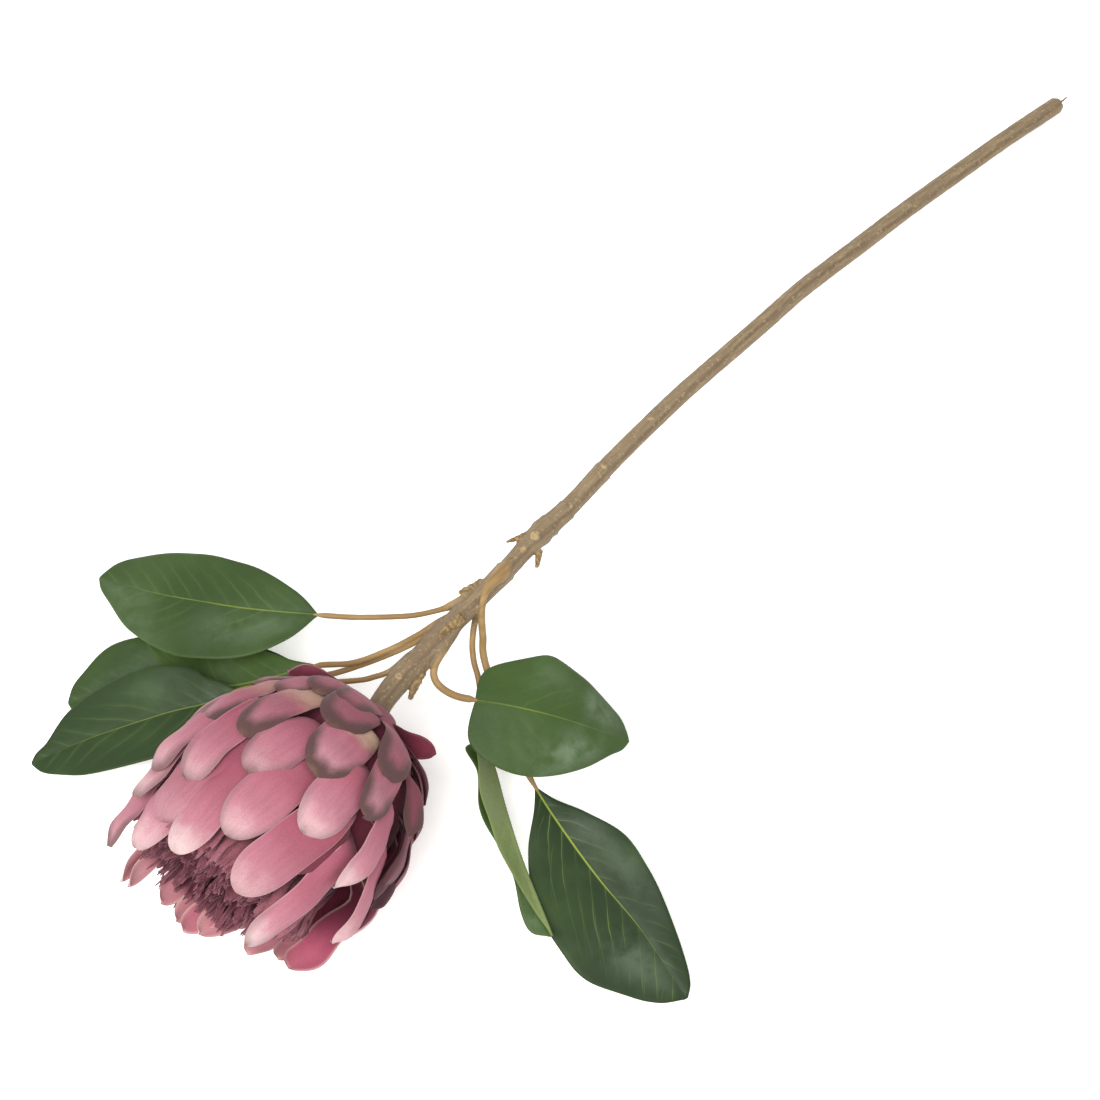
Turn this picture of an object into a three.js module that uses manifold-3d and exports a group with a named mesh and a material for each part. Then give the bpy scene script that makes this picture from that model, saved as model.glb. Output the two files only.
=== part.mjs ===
// A cut protea stem lying on a flat surface: one large flower head, a woody stem, seven leaves.
// Millimetres, +Z up. The head points to -X and the stem runs to +X. The surface is z = 0.
// Places below are measured from a point under the neck. ORIGIN is the part's own origin, seen from
// there: the middle of the part's box on the surface.

import * as THREE from "three";
import { mergeVertices } from "three/addons/utils/BufferGeometryUtils.js";
import Module from "manifold-3d";

const wasm = await Module();
wasm.setup();

const ORIGIN = new THREE.Vector3(56.5, -27.4, 0);

// Driving dimensions of the flower head
const HEAD_BASE = new THREE.Vector3(-133.7, -13.4, 59.7);
const HEAD_YAW = 6;
const HEAD_RISE = 7;
const HEAD_OUTLINE = [
  [-3, 7], [0, 20], [5, 36], [10, 45], [20, 54], [37, 61.5], [50, 66], [65, 69],
  [80, 68.5], [100, 64.5], [120, 58], [140, 51], [155, 45],
];
const CUP_OUTLINE = [
  [-6, 0], [-6, 8], [-1, 14], [4, 26], [12, 34], [25, 42], [40, 47], [56, 49], [66, 47], [70, 38], [70, 0],
];

// The rings of bracts, outermost first. Heights are along the head's axis from its base.
// Each seen bract is [azimuth, tip height, half width, flare, twist]; azimuth 0 is up, 90 is +Y.
// The mouth's rim lies higher toward one side, and the head is a little flatter on another.
const BRACT_THICK = 1.2;
const BRACT_CUP = 0.4;
const BRACT_FOOT = 0.36;
const BRACT_SHOULDER = 0.62;
const RING_PITCH = 2.8;
const RING_FADE = 18;
const MOUTH_SLANT = { amount: 6, toward: 50 };
const FLAT_SIDE = { amount: 4, toward: -108 };
const RINGS = [
  {
    // The collar round the neck
    tip: 17, half: 11, root: 1, sink: 1, tipRound: 1.1, slant: 0,
    seen: [[64, 13, 10, 4, 0], [27, 22, 12, 2.5, 0], [-4, 14, 10, 0, 0], [-66, 6, 9, 8, 30]],
    fill: { from: -110, to: -258, count: 5 },
  },
  {
    // The short base ring
    tip: 34, half: 14, root: 8, sink: 5, tipRound: 1.1, slant: 0,
    seen: [[49, 35, 12, 0, 0], [4, 37, 15, 0, 0], [-38, 35, 12, 0, 0], [-77, 35, 11, 1, 0]],
    fill: { from: -116, to: -270, count: 5 },
  },
  {
    // The outer ring
    tip: 63, half: 13.5, root: 30, sink: 8, tipRound: 1.25, slant: 0,
    seen: [[62, 72, 11, 0, 0], [29, 66, 12, 0, 0], [-11, 62, 16, 0, 0], [-45, 56, 11, 0, 0],
      [-80, 66, 11, 0, 0]],
    fill: { from: -112, to: -266, count: 6 },
  },
  {
    // The middle ring
    tip: 88, half: 12.5, root: 55, sink: 11, tipRound: 1.5, slant: 0,
    seen: [[73, 97, 11, 0, 0], [37, 99, 11, 0, 0], [8, 82, 12.5, 0, 0], [-28, 86, 14, 0, 0],
      [-54, 88, 10, 0, 0], [-83, 80, 11, 0, 0]],
    fill: { from: -116, to: -258, count: 5 },
  },
  {
    // The upper ring
    tip: 114, half: 12.5, root: 72, sink: 13, tipRound: 1.7, slant: 0.5,
    seen: [[67, 110, 11, 0, 0], [28, 120, 12, 0, 0], [-2, 109, 13, 0, 0], [-23, 124, 14, 0, 0],
      [-84, 110, 11, 0, 0]],
    fill: { from: -116, to: -262, count: 5 },
  },
  {
    // The ring round the mouth
    tip: 128, half: 12, root: 86, sink: 14, tipRound: 1.9, slant: 1,
    seen: [[86, 134, 10, 3, 0], [45, 130, 12, 0, 0], [11, 127, 12, 0, 0], [-43, 136, 12, 0, 0],
      [-74, 130, 14, 2, 0]],
    fill: { from: -100, to: -248, count: 7 },
  },
];

// The brush of florets in the mouth
const BRUSH_CORE = [[70.4, 0], [70.4, 36], [78, 44], [92, 44], [104, 26], [106, 0]];
const FLORET_RINGS = [
  { count: 28, radius: 47, from: 80, tip: 114, half: 4 },
  { count: 22, radius: 40, from: 90, tip: 118, half: 4 },
  { count: 17, radius: 32, from: 97, tip: 119, half: 4 },
  { count: 12, radius: 24, from: 101, tip: 119, half: 4 },
  { count: 7, radius: 15, from: 102, tip: 118, half: 4 },
  { count: 3, radius: 7, from: 103, tip: 117, half: 3.5 },
];
const FLORET_THICK = 1.6;

// The stem: points along its centre with its radius there, from the cut end to just before the head
const STEM_POINTS = [
  [391, 0, 4.6, 4.7], [354, 5, 8.3, 4.6], [319, 8, 11.7, 4.7], [281, 11, 15.6, 4.7],
  [242, 13, 19.6, 4.8], [204, 15, 23.6, 4.8], [170, 14.5, 27.2, 4.8], [139, 14.3, 30.6, 4.9],
  [112, 14, 33.4, 5.0], [86, 12.6, 36.3, 4.9], [54, 10.3, 39.8, 4.9], [20, 6.6, 43.5, 5.2],
  [1, 6.0, 45.6, 5.8], [-14, 4.7, 47.3, 5.2], [-26, 3, 48.7, 5.2], [-45, 1.4, 50.7, 5.0],
  [-60, -0.8, 52.4, 5.2], [-77, -3.5, 54, 6.3], [-94, -7, 55.4, 7.0],
];
const STEM_TOP = [[-22, 6.5], [-6.3, 6.2]];
const STEM_SIDES = 10;
const PETIOLE_SIDES = 6;
const SEAT_GAP = 0.3;

// Each leaf is one path: its petiole, and from point number "base" on its midrib.
// Half widths are [left, right] as seen from base to tip. The lift of each half is in degrees at
// the base and at the tip. Waves are those of the margin.
const LEAF_THICK = 1.1;
const LEAVES = {
  leaf_upper_left: {
    path: [[-50, 4, 50], [-66, 10, 51], [-85, 22, 51.5], [-101, 37, 49.5], [-114, 53, 46],
      [-136, 81, 41], [-150, 103, 35], [-163, 126, 27], [-176, 158, 12]],
    base: 4, stalk: [2.6, 1.5], half: [31, 28], lift: [[14, 4], [10, -6]], widest: [0.56, 0.56],
    wave: 1.2, waves: 2.5, phase: 0.4, color: 0x3c5529,
  },
  leaf_middle_left: {
    path: [[-68, 2, 53], [-86, 10, 51.5], [-101, 16, 48.5], [-118, 25, 43.5], [-132, 36, 38],
      [-151, 49, 31], [-167, 66, 23.5], [-178, 90, 16], [-182, 122, 8]],
    base: 4, stalk: [2.4, 1.5], half: [28, 29], lift: [[-10, -6], [8, 0]], widest: [0.52, 0.52],
    wave: 1.2, waves: 2, phase: 1.8, color: 0x3f582c,
  },
  leaf_back_left: {
    path: [[-71, -2, 52], [-87, 6, 49], [-102, 12, 45.5], [-119, 21, 39.5], [-133, 31.5, 33],
      [-154, 52, 22], [-180, 78, 11], [-207, 104, 4.5], [-232, 121, 0.3]],
    base: 4, stalk: [2.4, 1.5], half: [26, 28], lift: [[4, 0], [6, 4]], widest: [0.58, 0.58],
    wave: 1.0, waves: 2, phase: 0.2, color: 0x4c6338,
  },
  leaf_lower_left: {
    path: [[-96, -3, 56], [-110, 5, 54], [-127, 18.5, 47.5], [-149, 39, 39], [-169, 56, 32],
      [-184, 62, 29.5], [-203, 74, 26], [-239, 94.5, 15], [-267.5, 107.5, 6]],
    base: 4, stalk: [2.8, 1.5], half: [24, 31], lift: [[24, 8], [10, 2]], widest: [0.55, 0.55],
    wave: 1.4, waves: 2, phase: 2.6, color: 0x3e5636,
  },
  leaf_near_right: {
    path: [[-74, 1, 55], [-87, -9, 55], [-94, -15, 54], [-96, -21, 53.5], [-94, -29, 52], [-88, -37, 50],
      [-77, -52, 49.5], [-65, -69, 46], [-53, -86, 37], [-42, -99, 20]],
    base: 5, stalk: [3.2, 1.8], half: [34, 34], lift: [[-4, -14], [-4, -14]], widest: [0.42, 0.42],
    wave: 1.4, waves: 2, phase: 0.9, color: 0x3d5431,
  },
  leaf_folded_right: {
    path: [[-52, -2, 43], [-60, -7, 39.5], [-69, -15, 35], [-81, -31, 29], [-94, -49, 24],
      [-102, -66, 22], [-113, -87, 18], [-123, -108, 13], [-137, -144, 7]],
    base: 4, stalk: [2.2, 1.5], half: [20, 15], lift: [[112, 142], [62, 4]], widest: [0.40, 0.68], folded: true,
    wave: 2.2, waves: 3, phase: 0.0, color: 0x5f7d45,
  },
  leaf_low_right: {
    path: [[-24, 6, 49], [-38, 7, 46.5], [-48, 1, 43.5], [-59, -12, 39], [-72, -31, 32], [-84, -57, 25],
      [-92, -85, 19], [-97, -110, 17], [-101, -140, 13], [-103, -173, 7], [-110, -213, 0.3]],
    base: 6, stalk: [3.0, 1.7], half: [24, 41], lift: [[10, 6], [12, 4]], widest: [0.52, 0.64],
    wave: 2.0, waves: 2.5, phase: 1.2, color: 0x37502b,
  },
};

// Bud stubs and scars on the stem: start, end, radius at the start and at the end
const BUDS = [
  { from: [-4, 8, 48], to: [-18.3, 13.6, 50], radius: [2.4, 0.9] },
  { from: [-6, 1, 46], to: [-15.5, -6.5, 47], radius: [2.0, 1.0] },
  { from: [-40, 5, 51], to: [-55.6, 9.5, 54], radius: [2.6, 0.9] },
  { from: [-64, 0, 56], to: [-78.9, -2.6, 62], radius: [3.4, 1.4] },
  { from: [-98, -8, 55], to: [-112, -16.5, 54], radius: [2.8, 1.0] },
  { from: [-52, -3, 43], to: [-61, -7, 43], radius: [1.8, 1.0] },
];
const SCARS = [
  { at: [86, 12.4, 40.2], radius: 2.6, height: 1.4 },
  { at: [48, 9.6, 44.4], radius: 2.4, height: 1.4 },
  { at: [-4, 5.6, 51.0], radius: 3.2, height: 1.8 },
  { at: [-14, 4.6, 51.8], radius: 2.4, height: 1.3 },
];

// Colours of the pieces
const BRACT_COLOR = 0xb9687c;
const FLORET_COLOR = 0x6b3a4c;
const STEM_COLOR = 0x85704f;

const UP = new THREE.Vector3(0, 0, 1);
const radians = THREE.MathUtils.degToRad;

// Helpers: seeded numbers, smooth steps, solids from grids, joins

let seed = 20417;
function draw() {
  seed = (Math.imul(seed, 1664525) + 1013904223) >>> 0;
  return seed / 4294967296;
}

function jitter(amount) {
  return (draw() * 2 - 1) * amount;
}

function smooth(x) {
  const c = Math.min(Math.max(x, 0), 1);
  return c * c * (3 - 2 * c);
}

function mix(a, b, x) {
  return a + (b - a) * x;
}

// A closed solid from equal rings of points. The rings run round, and flat caps close the ends.
function loft(rings) {
  const sides = rings[0].length;
  const positions = rings.flat().flatMap((p) => [p.x, p.y, p.z]);
  const index = [];
  for (let i = 0; i < rings.length - 1; i++) {
    for (let j = 0; j < sides; j++) {
      const a = i * sides + j;
      const b = i * sides + ((j + 1) % sides);
      index.push(a, b, b + sides, a, b + sides, a + sides);
    }
  }
  const last = (rings.length - 1) * sides;
  for (let j = 1; j < sides - 1; j++) {
    index.push(0, j + 1, j);
    index.push(last, last + j, last + j + 1);
  }
  return outward(geometryOf(positions, index));
}

// A closed blade from a grid of centre points and normals: two like faces and a rim
function blade(rows, thickness) {
  const across = rows[0].length;
  const count = rows.length * across;
  const positions = [];
  for (const side of [0.5, -0.5]) {
    for (const row of rows) {
      for (const { point, normal } of row) {
        positions.push(...point.clone().addScaledVector(normal, side * thickness).toArray());
      }
    }
  }
  const index = [];
  for (let i = 0; i < rows.length - 1; i++) {
    for (let j = 0; j < across - 1; j++) {
      const a = i * across + j;
      const b = a + 1;
      const c = a + across;
      const d = c + 1;
      const flip = j < (across - 1) / 2;
      const cells = flip ? [[a, b, d], [a, d, c]] : [[a, b, c], [b, d, c]];
      for (const [p, q, r] of cells) {
        index.push(p, q, r, p + count, r + count, q + count);
      }
    }
  }
  const rim = rimOf(rows.length, across);
  rim.forEach((a, k) => {
    const b = rim[(k + 1) % rim.length];
    index.push(a, a + count, b, b, a + count, b + count);
  });
  return outward(geometryOf(positions, index));
}

// The border of a grid, walked once round
function rimOf(rowCount, across) {
  const rim = [];
  for (let j = 0; j < across - 1; j++) rim.push(j);
  for (let i = 0; i < rowCount - 1; i++) rim.push(i * across + across - 1);
  for (let j = across - 1; j > 0; j--) rim.push((rowCount - 1) * across + j);
  for (let i = rowCount - 1; i > 0; i--) rim.push(i * across);
  return rim;
}

function geometryOf(positions, index) {
  const geometry = new THREE.BufferGeometry();
  geometry.setAttribute("position", new THREE.Float32BufferAttribute(positions, 3));
  geometry.setIndex(index);
  return geometry;
}

// Turns a closed geometry's faces outward if they point inward
function outward(geometry) {
  const position = geometry.getAttribute("position");
  const index = geometry.index.array;
  const [a, b, c] = [new THREE.Vector3(), new THREE.Vector3(), new THREE.Vector3()];
  let volume = 0;
  for (let i = 0; i < index.length; i += 3) {
    a.fromBufferAttribute(position, index[i]);
    b.fromBufferAttribute(position, index[i + 1]);
    c.fromBufferAttribute(position, index[i + 2]);
    volume += a.dot(b.cross(c));
  }
  if (volume < 0) {
    for (let i = 0; i < index.length; i += 3) {
      [index[i + 1], index[i + 2]] = [index[i + 2], index[i + 1]];
    }
  }
  return geometry;
}

function solidOf(geometry) {
  const bare = geometry.clone();
  bare.deleteAttribute("normal");
  bare.deleteAttribute("uv");
  const merged = mergeVertices(bare, 1e-4);
  return new wasm.Manifold(new wasm.Mesh({
    numProp: 3,
    vertProperties: new Float32Array(merged.getAttribute("position").array),
    triVerts: new Uint32Array(merged.index.array),
  }));
}

function geometryOfSolid(solid) {
  const mesh = solid.getMesh();
  return geometryOf(Array.from(mesh.vertProperties), Array.from(mesh.triVerts));
}

function join(geometries) {
  return geometries.map(solidOf).reduce((whole, piece) => whole.add(piece));
}

// A block below the surface, which trims whatever dips under z = 0
function belowSurface() {
  const [span, depth] = [1200, 60];
  const block = new THREE.BoxGeometry(span, span, depth);
  block.translate(0, 0, -depth / 2);
  return solidOf(block);
}

// A smooth value through a list of [place, value] pairs
function along(pairs, x) {
  const last = pairs.length - 1;
  let i = 0;
  while (i < last - 1 && x > pairs[i + 1][0]) i++;
  const [x1, y1] = pairs[i];
  const [x2, y2] = pairs[i + 1];
  const [x0, y0] = pairs[Math.max(i - 1, 0)];
  const [x3, y3] = pairs[Math.min(i + 2, last)];
  const f = Math.min(Math.max((x - x1) / (x2 - x1), 0), 1);
  const m1 = ((y2 - y0) / (x2 - x0)) * (x2 - x1);
  const m2 = ((y3 - y1) / (x3 - x1)) * (x2 - x1);
  const f2 = f * f;
  const f3 = f2 * f;
  return y1 * (2 * f3 - 3 * f2 + 1) + m1 * (f3 - 2 * f2 + f) + y2 * (3 * f2 - 2 * f3) + m2 * (f3 - f2);
}

// The head's own frame: along its axis, up across it, and to its left side

const yaw = radians(HEAD_YAW);
const rise = radians(HEAD_RISE);
const AXIS = new THREE.Vector3(-1, 0, 0)
  .applyAxisAngle(new THREE.Vector3(0, 1, 0), rise)
  .applyAxisAngle(UP, yaw);
const ACROSS = UP.clone().addScaledVector(AXIS, -AXIS.z).normalize();
const SIDE = AXIS.clone().cross(ACROSS);

function headPoint(height, radius, azimuth) {
  return HEAD_BASE.clone()
    .addScaledVector(AXIS, height)
    .addScaledVector(ACROSS, radius * Math.cos(azimuth))
    .addScaledVector(SIDE, radius * Math.sin(azimuth));
}

function turned(outline, sides) {
  const rings = outline.map(([height, radius]) =>
    Array.from({ length: sides }, (_, j) =>
      headPoint(height, Math.max(radius, 0.01), (j / sides) * 2 * Math.PI)));
  return loft(rings);
}

// The head's outline, walked by its length: the place and outward normal at a distance from the base

const OUTLINE_STEPS = 96;
const OUTLINE_WALK = walkOutline();

function walkOutline() {
  const heights = HEAD_OUTLINE.map(([height], i) => [i, height]);
  const radii = HEAD_OUTLINE.map(([, radius], i) => [i, radius]);
  const walk = [];
  let length = 0;
  for (let k = 0; k <= OUTLINE_STEPS; k++) {
    const x = (k / OUTLINE_STEPS) * (HEAD_OUTLINE.length - 1);
    const place = [along(heights, x), along(radii, x)];
    if (k > 0) length += Math.hypot(place[0] - walk[k - 1].height, place[1] - walk[k - 1].radius);
    walk.push({ length, height: place[0], radius: place[1] });
  }
  return walk;
}

function outlineAt(length) {
  const heights = OUTLINE_WALK.map((w) => [w.length, w.height]);
  const radii = OUTLINE_WALK.map((w) => [w.length, w.radius]);
  const height = along(heights, length);
  const radius = along(radii, length);
  const slopeHeight = along(heights, length + 0.5) - height;
  const slopeRadius = along(radii, length + 0.5) - radius;
  const slope = Math.hypot(slopeHeight, slopeRadius);
  return { height, radius, outHeight: -slopeRadius / slope, outRadius: slopeHeight / slope };
}

function lengthAtHeight(height) {
  return OUTLINE_WALK.find((w) => w.height >= height).length;
}

// How deep a ring lies under the rings outside it, at a distance along the outline
function depthOf(ringNumber, length) {
  let depth = 0;
  for (let k = 0; k < ringNumber; k++) {
    const end = lengthAtHeight(RINGS[k].tip);
    depth += RING_PITCH * smooth((end - length) / RING_FADE + 0.5);
  }
  return depth;
}

const BRACT_ROWS = [0, 0.3, 0.56, 0.77, 0.91, 1];
const BRACT_ACROSS = [-1, -0.36, 0.36, 1];
const TIP_WIDTH = 0.4;
const TIP_POWER = 2.2;
const ROOT_SHARE = 0.3;
const LEAST_RADIUS = 3;
const FLAT_START = 60;

function bract(ringNumber, [azimuth, tip, half, flare, twist]) {
  const ring = RINGS[ringNumber];
  const start = ring.root;
  const slant = MOUTH_SLANT.amount * ring.slant * Math.cos(radians(azimuth - MOUTH_SLANT.toward));
  const end = lengthAtHeight(tip + slant);
  const rows = BRACT_ROWS.map((s) => {
    const length = mix(start, end, s);
    const fromTip = end - length;
    const round = ring.tipRound * half;
    const rounding = Math.sqrt(1 - Math.min(Math.max((round - fromTip) / round, 0), 1) ** TIP_POWER);
    const width = half * Math.max(rounding, TIP_WIDTH) * mix(BRACT_FOOT, 1, smooth(s / BRACT_SHOULDER));
    const depth = depthOf(ringNumber, length) + ring.sink * (1 - smooth(s / ROOT_SHARE));
    const out = flare * smooth((s - ROOT_SHARE) / (1 - ROOT_SHARE)) ** 1.5;
    return BRACT_ACROSS.map((u) =>
      bractPoint(length, out - depth - BRACT_CUP * u * u, radians(azimuth), u * width, radians(twist) * s));
  });
  return blade(rows, BRACT_THICK);
}

// A point of a bract and the normal there, at an offset from the outline and a distance from its midline
function bractPoint(length, offset, azimuth, sideways, twist) {
  const at = outlineAt(length);
  const height = at.height + at.outHeight * offset;
  const flat = FLAT_SIDE.amount * Math.max(Math.cos(azimuth - radians(FLAT_SIDE.toward)), 0) ** 2;
  const inward = flat * smooth(length / FLAT_START);
  const radius = Math.max(at.radius + at.outRadius * offset - inward, LEAST_RADIUS);
  const turn = azimuth + (sideways * Math.cos(twist)) / radius;
  const raise = sideways * Math.sin(twist);
  const point = headPoint(height + at.outHeight * raise, radius + at.outRadius * raise, turn);
  const outer = headPoint(at.outHeight, at.outRadius, turn).sub(HEAD_BASE);
  const round = headPoint(0, 1, turn + Math.PI / 2).sub(HEAD_BASE);
  const normal = outer.multiplyScalar(Math.cos(twist)).addScaledVector(round, -Math.sin(twist));
  return { point, normal };
}

function bractsOf(ringNumber) {
  const ring = RINGS[ringNumber];
  const { from, to, count } = ring.fill;
  const hidden = Array.from({ length: count }, (_, k) => {
    const azimuth = mix(from, to, k / (count - 1)) + jitter(3);
    return [azimuth, ring.tip + jitter(4), ring.half + jitter(0.8), 0, 0];
  });
  return [...ring.seen, ...hidden].map((one) => bract(ringNumber, one));
}

function bracts() {
  const blades = RINGS.flatMap((_, k) => bractsOf(k));
  const whole = join([turned(CUP_OUTLINE, 24), ...blades]);
  return geometryOfSolid(whole.subtract(belowSurface()));
}

// The brush: a core with rings of torn strips that stand out of it

const FLORET_STEPS = [[0, 0.8], [0.75, 1], [1, 0.3]];
const FLORET_SPREAD = [0.86, 1.02];

function floret(azimuth, radius, from, tip, half, lean) {
  const rows = FLORET_STEPS.map(([s, width]) => {
    const height = mix(from, tip, s);
    const r = radius * mix(...FLORET_SPREAD, s);
    const turn = azimuth + (lean * s) / radius;
    return [-1, 1].map((u) => ({
      point: headPoint(height, r, turn + (u * half * width) / radius),
      normal: headPoint(0, 1, turn).sub(HEAD_BASE),
    }));
  });
  return blade(rows, FLORET_THICK);
}

function florets() {
  const strips = FLORET_RINGS.flatMap((ring, n) =>
    Array.from({ length: ring.count }, (_, k) => {
      const azimuth = ((k + 0.5 * (n % 2)) / ring.count) * 2 * Math.PI + jitter(0.05);
      const radius = ring.radius + jitter(0.8);
      return floret(azimuth, radius, ring.from, ring.tip + jitter(4), ring.half + jitter(0.4), jitter(3));
    }));
  return geometryOfSolid(join([turned(BRUSH_CORE, 20), ...strips]));
}

// Paths: a smooth curve through points, where x counts the points

function pathAt(points, x) {
  const last = points.length - 1;
  const i = Math.min(Math.floor(x), last - 1);
  const f = x - i;
  const [b, c] = [points[i], points[i + 1]];
  const a = i > 0 ? points[i - 1] : b.clone().multiplyScalar(2).sub(c);
  const d = i + 2 <= last ? points[i + 2] : c.clone().multiplyScalar(2).sub(b);
  const start = c.clone().sub(a).multiplyScalar(0.5);
  const end = d.clone().sub(b).multiplyScalar(0.5);
  const [f2, f3] = [f * f, f * f * f];
  const centre = b.clone().multiplyScalar(2 * f3 - 3 * f2 + 1)
    .addScaledVector(start, f3 - 2 * f2 + f)
    .addScaledVector(c, 3 * f2 - 2 * f3)
    .addScaledVector(end, f3 - f2);
  const tangent = b.clone().multiplyScalar(6 * f2 - 6 * f)
    .addScaledVector(start, 3 * f2 - 4 * f + 1)
    .addScaledVector(c, 6 * f - 6 * f2)
    .addScaledVector(end, 3 * f2 - 2 * f)
    .normalize();
  const right = tangent.clone().cross(UP).normalize();
  const up = right.clone().cross(tangent);
  return { centre, tangent, right, up };
}

function vectors(points) {
  return points.map(([x, y, z]) => new THREE.Vector3(x, y, z));
}

// Leaves

const LEAF_ROWS = 13;
const LEFT_HALF = [-1, -0.5, 0];
const RIGHT_HALF = [0, 0.5, 1];
const LEAF_FULLNESS = 0.72;
const LEAF_ENDS = [0.06, 0.03];
const LEAF_SAG = 0.05;
const LEFT_WAVE_LAG = 2;

// The rib that joins the two halves of a folded leaf
const RIB_SIDES = 6;
const RIB_RADII = [1.2, 0.8];

function leaf(plan) {
  const points = vectors(plan.path);
  const first = plan.base + SEAT_GAP / points[plan.base].distanceTo(points[plan.base + 1]);
  const last = points.length - 1;
  const rowsOf = (pointsAcross) => Array.from({ length: LEAF_ROWS }, (_, i) => {
    const s = i / (LEAF_ROWS - 1);
    return pointsAcross(s, pathAt(points, mix(first, last, s)));
  });
  const left = (s, at) => LEFT_HALF.map((u) => leafPoint(plan, 0, s, u, at));
  const right = (s, at) => RIGHT_HALF.map((u) => leafPoint(plan, 1, s, u, at));
  const flat = (s, at) => {
    const middle = { point: at.centre.clone(), normal: at.up.clone() };
    return [...left(s, at).slice(0, -1), middle, ...right(s, at).slice(1)];
  };
  const rib = () => tube(points, first, last, LEAF_ROWS - 1, RIB_SIDES, (s) => mix(...RIB_RADII, s));
  const pieces = plan.folded
    ? [blade(rowsOf(left), LEAF_THICK), blade(rowsOf(right), LEAF_THICK), rib()]
    : [blade(rowsOf(flat), LEAF_THICK)];
  return geometryOfSolid(join(pieces).subtract(belowSurface()));
}

// The half width along a leaf, as a share of the widest: pointed at both ends
function leafWidth(s, widest) {
  const x = s ** (Math.log(0.5) / Math.log(widest));
  return Math.max((4 * x * (1 - x)) ** LEAF_FULLNESS, s < 0.5 ? LEAF_ENDS[0] : LEAF_ENDS[1]);
}

// A point of the left half (side 0) or the right half (side 1), at u from the midrib to the margin
function leafPoint(plan, side, s, u, { centre, right, up }) {
  const lift = radians(mix(plan.lift[side][0], plan.lift[side][1], s));
  const width = plan.half[side] * leafWidth(s, plan.widest[side]) * Math.abs(u);
  const out = right.clone().multiplyScalar(side ? 1 : -1);
  const direction = out.clone().multiplyScalar(Math.cos(lift)).addScaledVector(up, Math.sin(lift));
  const normal = up.clone().multiplyScalar(Math.cos(lift)).addScaledVector(out, -Math.sin(lift));
  const turn = 2 * Math.PI * plan.waves * s + plan.phase + (side ? 0 : LEFT_WAVE_LAG);
  const ripple = plan.wave * u * u * Math.sin(turn) * leafWidth(s, 0.5);
  const sag = LEAF_SAG * width * Math.abs(u);
  const point = centre.clone().addScaledVector(direction, width).addScaledVector(normal, ripple - sag);
  return { point, normal };
}

// The stem with its petioles, buds and scars

// A tube from place "from" to place "to" along a path. Its radius is given along it, from 0 to 1.
function tube(points, from, to, steps, sides, radiusAt) {
  const rings = Array.from({ length: steps + 1 }, (_, i) => {
    const s = i / steps;
    const { centre, right, up } = pathAt(points, mix(from, to, s));
    const radius = radiusAt(s);
    return Array.from({ length: sides }, (_, j) => {
      const turn = ((j + 0.5) / sides) * 2 * Math.PI;
      return centre.clone()
        .addScaledVector(right, Math.cos(turn) * radius)
        .addScaledVector(up, Math.sin(turn) * radius);
    });
  });
  return loft(rings);
}

function mainStem() {
  const top = STEM_TOP.map(([height]) => headPoint(height, 0, 0));
  const points = [...vectors(STEM_POINTS), ...top];
  const last = points.length - 1;
  const radii = [...STEM_POINTS.map((p) => p[3]), ...STEM_TOP.map((p) => p[1])].map((r, i) => [i / last, r]);
  return tube(points, 0, last, last, STEM_SIDES, (s) => along(radii, s));
}

// A petiole is thick where it leaves the stem and then even
function petiole({ path, base, stalk }) {
  const thickShare = 0.35;
  return tube(vectors(path), 0, base, base * 2, PETIOLE_SIDES, (s) => mix(...stalk, smooth(s / thickShare)));
}

function bud({ from, to, radius }) {
  return tube(vectors([from, to]), 0, 1, 2, PETIOLE_SIDES, (s) => mix(...radius, s ** 2));
}

const SCAR_SIDES = 8;
const SCAR_RINGS = [[-2, 1.15], [0, 1], [0.5, 0.55]];

function scar({ at, radius, height }) {
  const rings = SCAR_RINGS.map(([level, share]) =>
    Array.from({ length: SCAR_SIDES }, (_, j) => {
      const turn = (j / SCAR_SIDES) * 2 * Math.PI;
      return new THREE.Vector3(
        at[0] + Math.cos(turn) * radius * share,
        at[1] + Math.sin(turn) * radius * share,
        at[2] + level * height,
      );
    }));
  return loft(rings);
}

function stem() {
  const pieces = [
    mainStem(),
    ...Object.values(LEAVES).map(petiole),
    ...BUDS.map(bud),
    ...SCARS.map(scar),
  ];
  return geometryOfSolid(join(pieces).subtract(belowSurface()));
}

// The assembly

function piece(name, geometry, color, roughness) {
  const material = new THREE.MeshStandardMaterial({ color, roughness, metalness: 0 });
  const mesh = new THREE.Mesh(geometry, material);
  mesh.name = name;
  return mesh;
}

const protea = new THREE.Group();
protea.position.copy(ORIGIN).negate();
protea.add(piece("bracts", bracts(), BRACT_COLOR, 0.85));
protea.add(piece("florets", florets(), FLORET_COLOR, 0.9));
protea.add(piece("stem", stem(), STEM_COLOR, 0.7));
for (const [name, plan] of Object.entries(LEAVES)) {
  protea.add(piece(name, leaf(plan), plan.color, 0.45));
}

export default protea;
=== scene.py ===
import math

import bpy
import numpy as np
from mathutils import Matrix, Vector, noise


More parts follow.
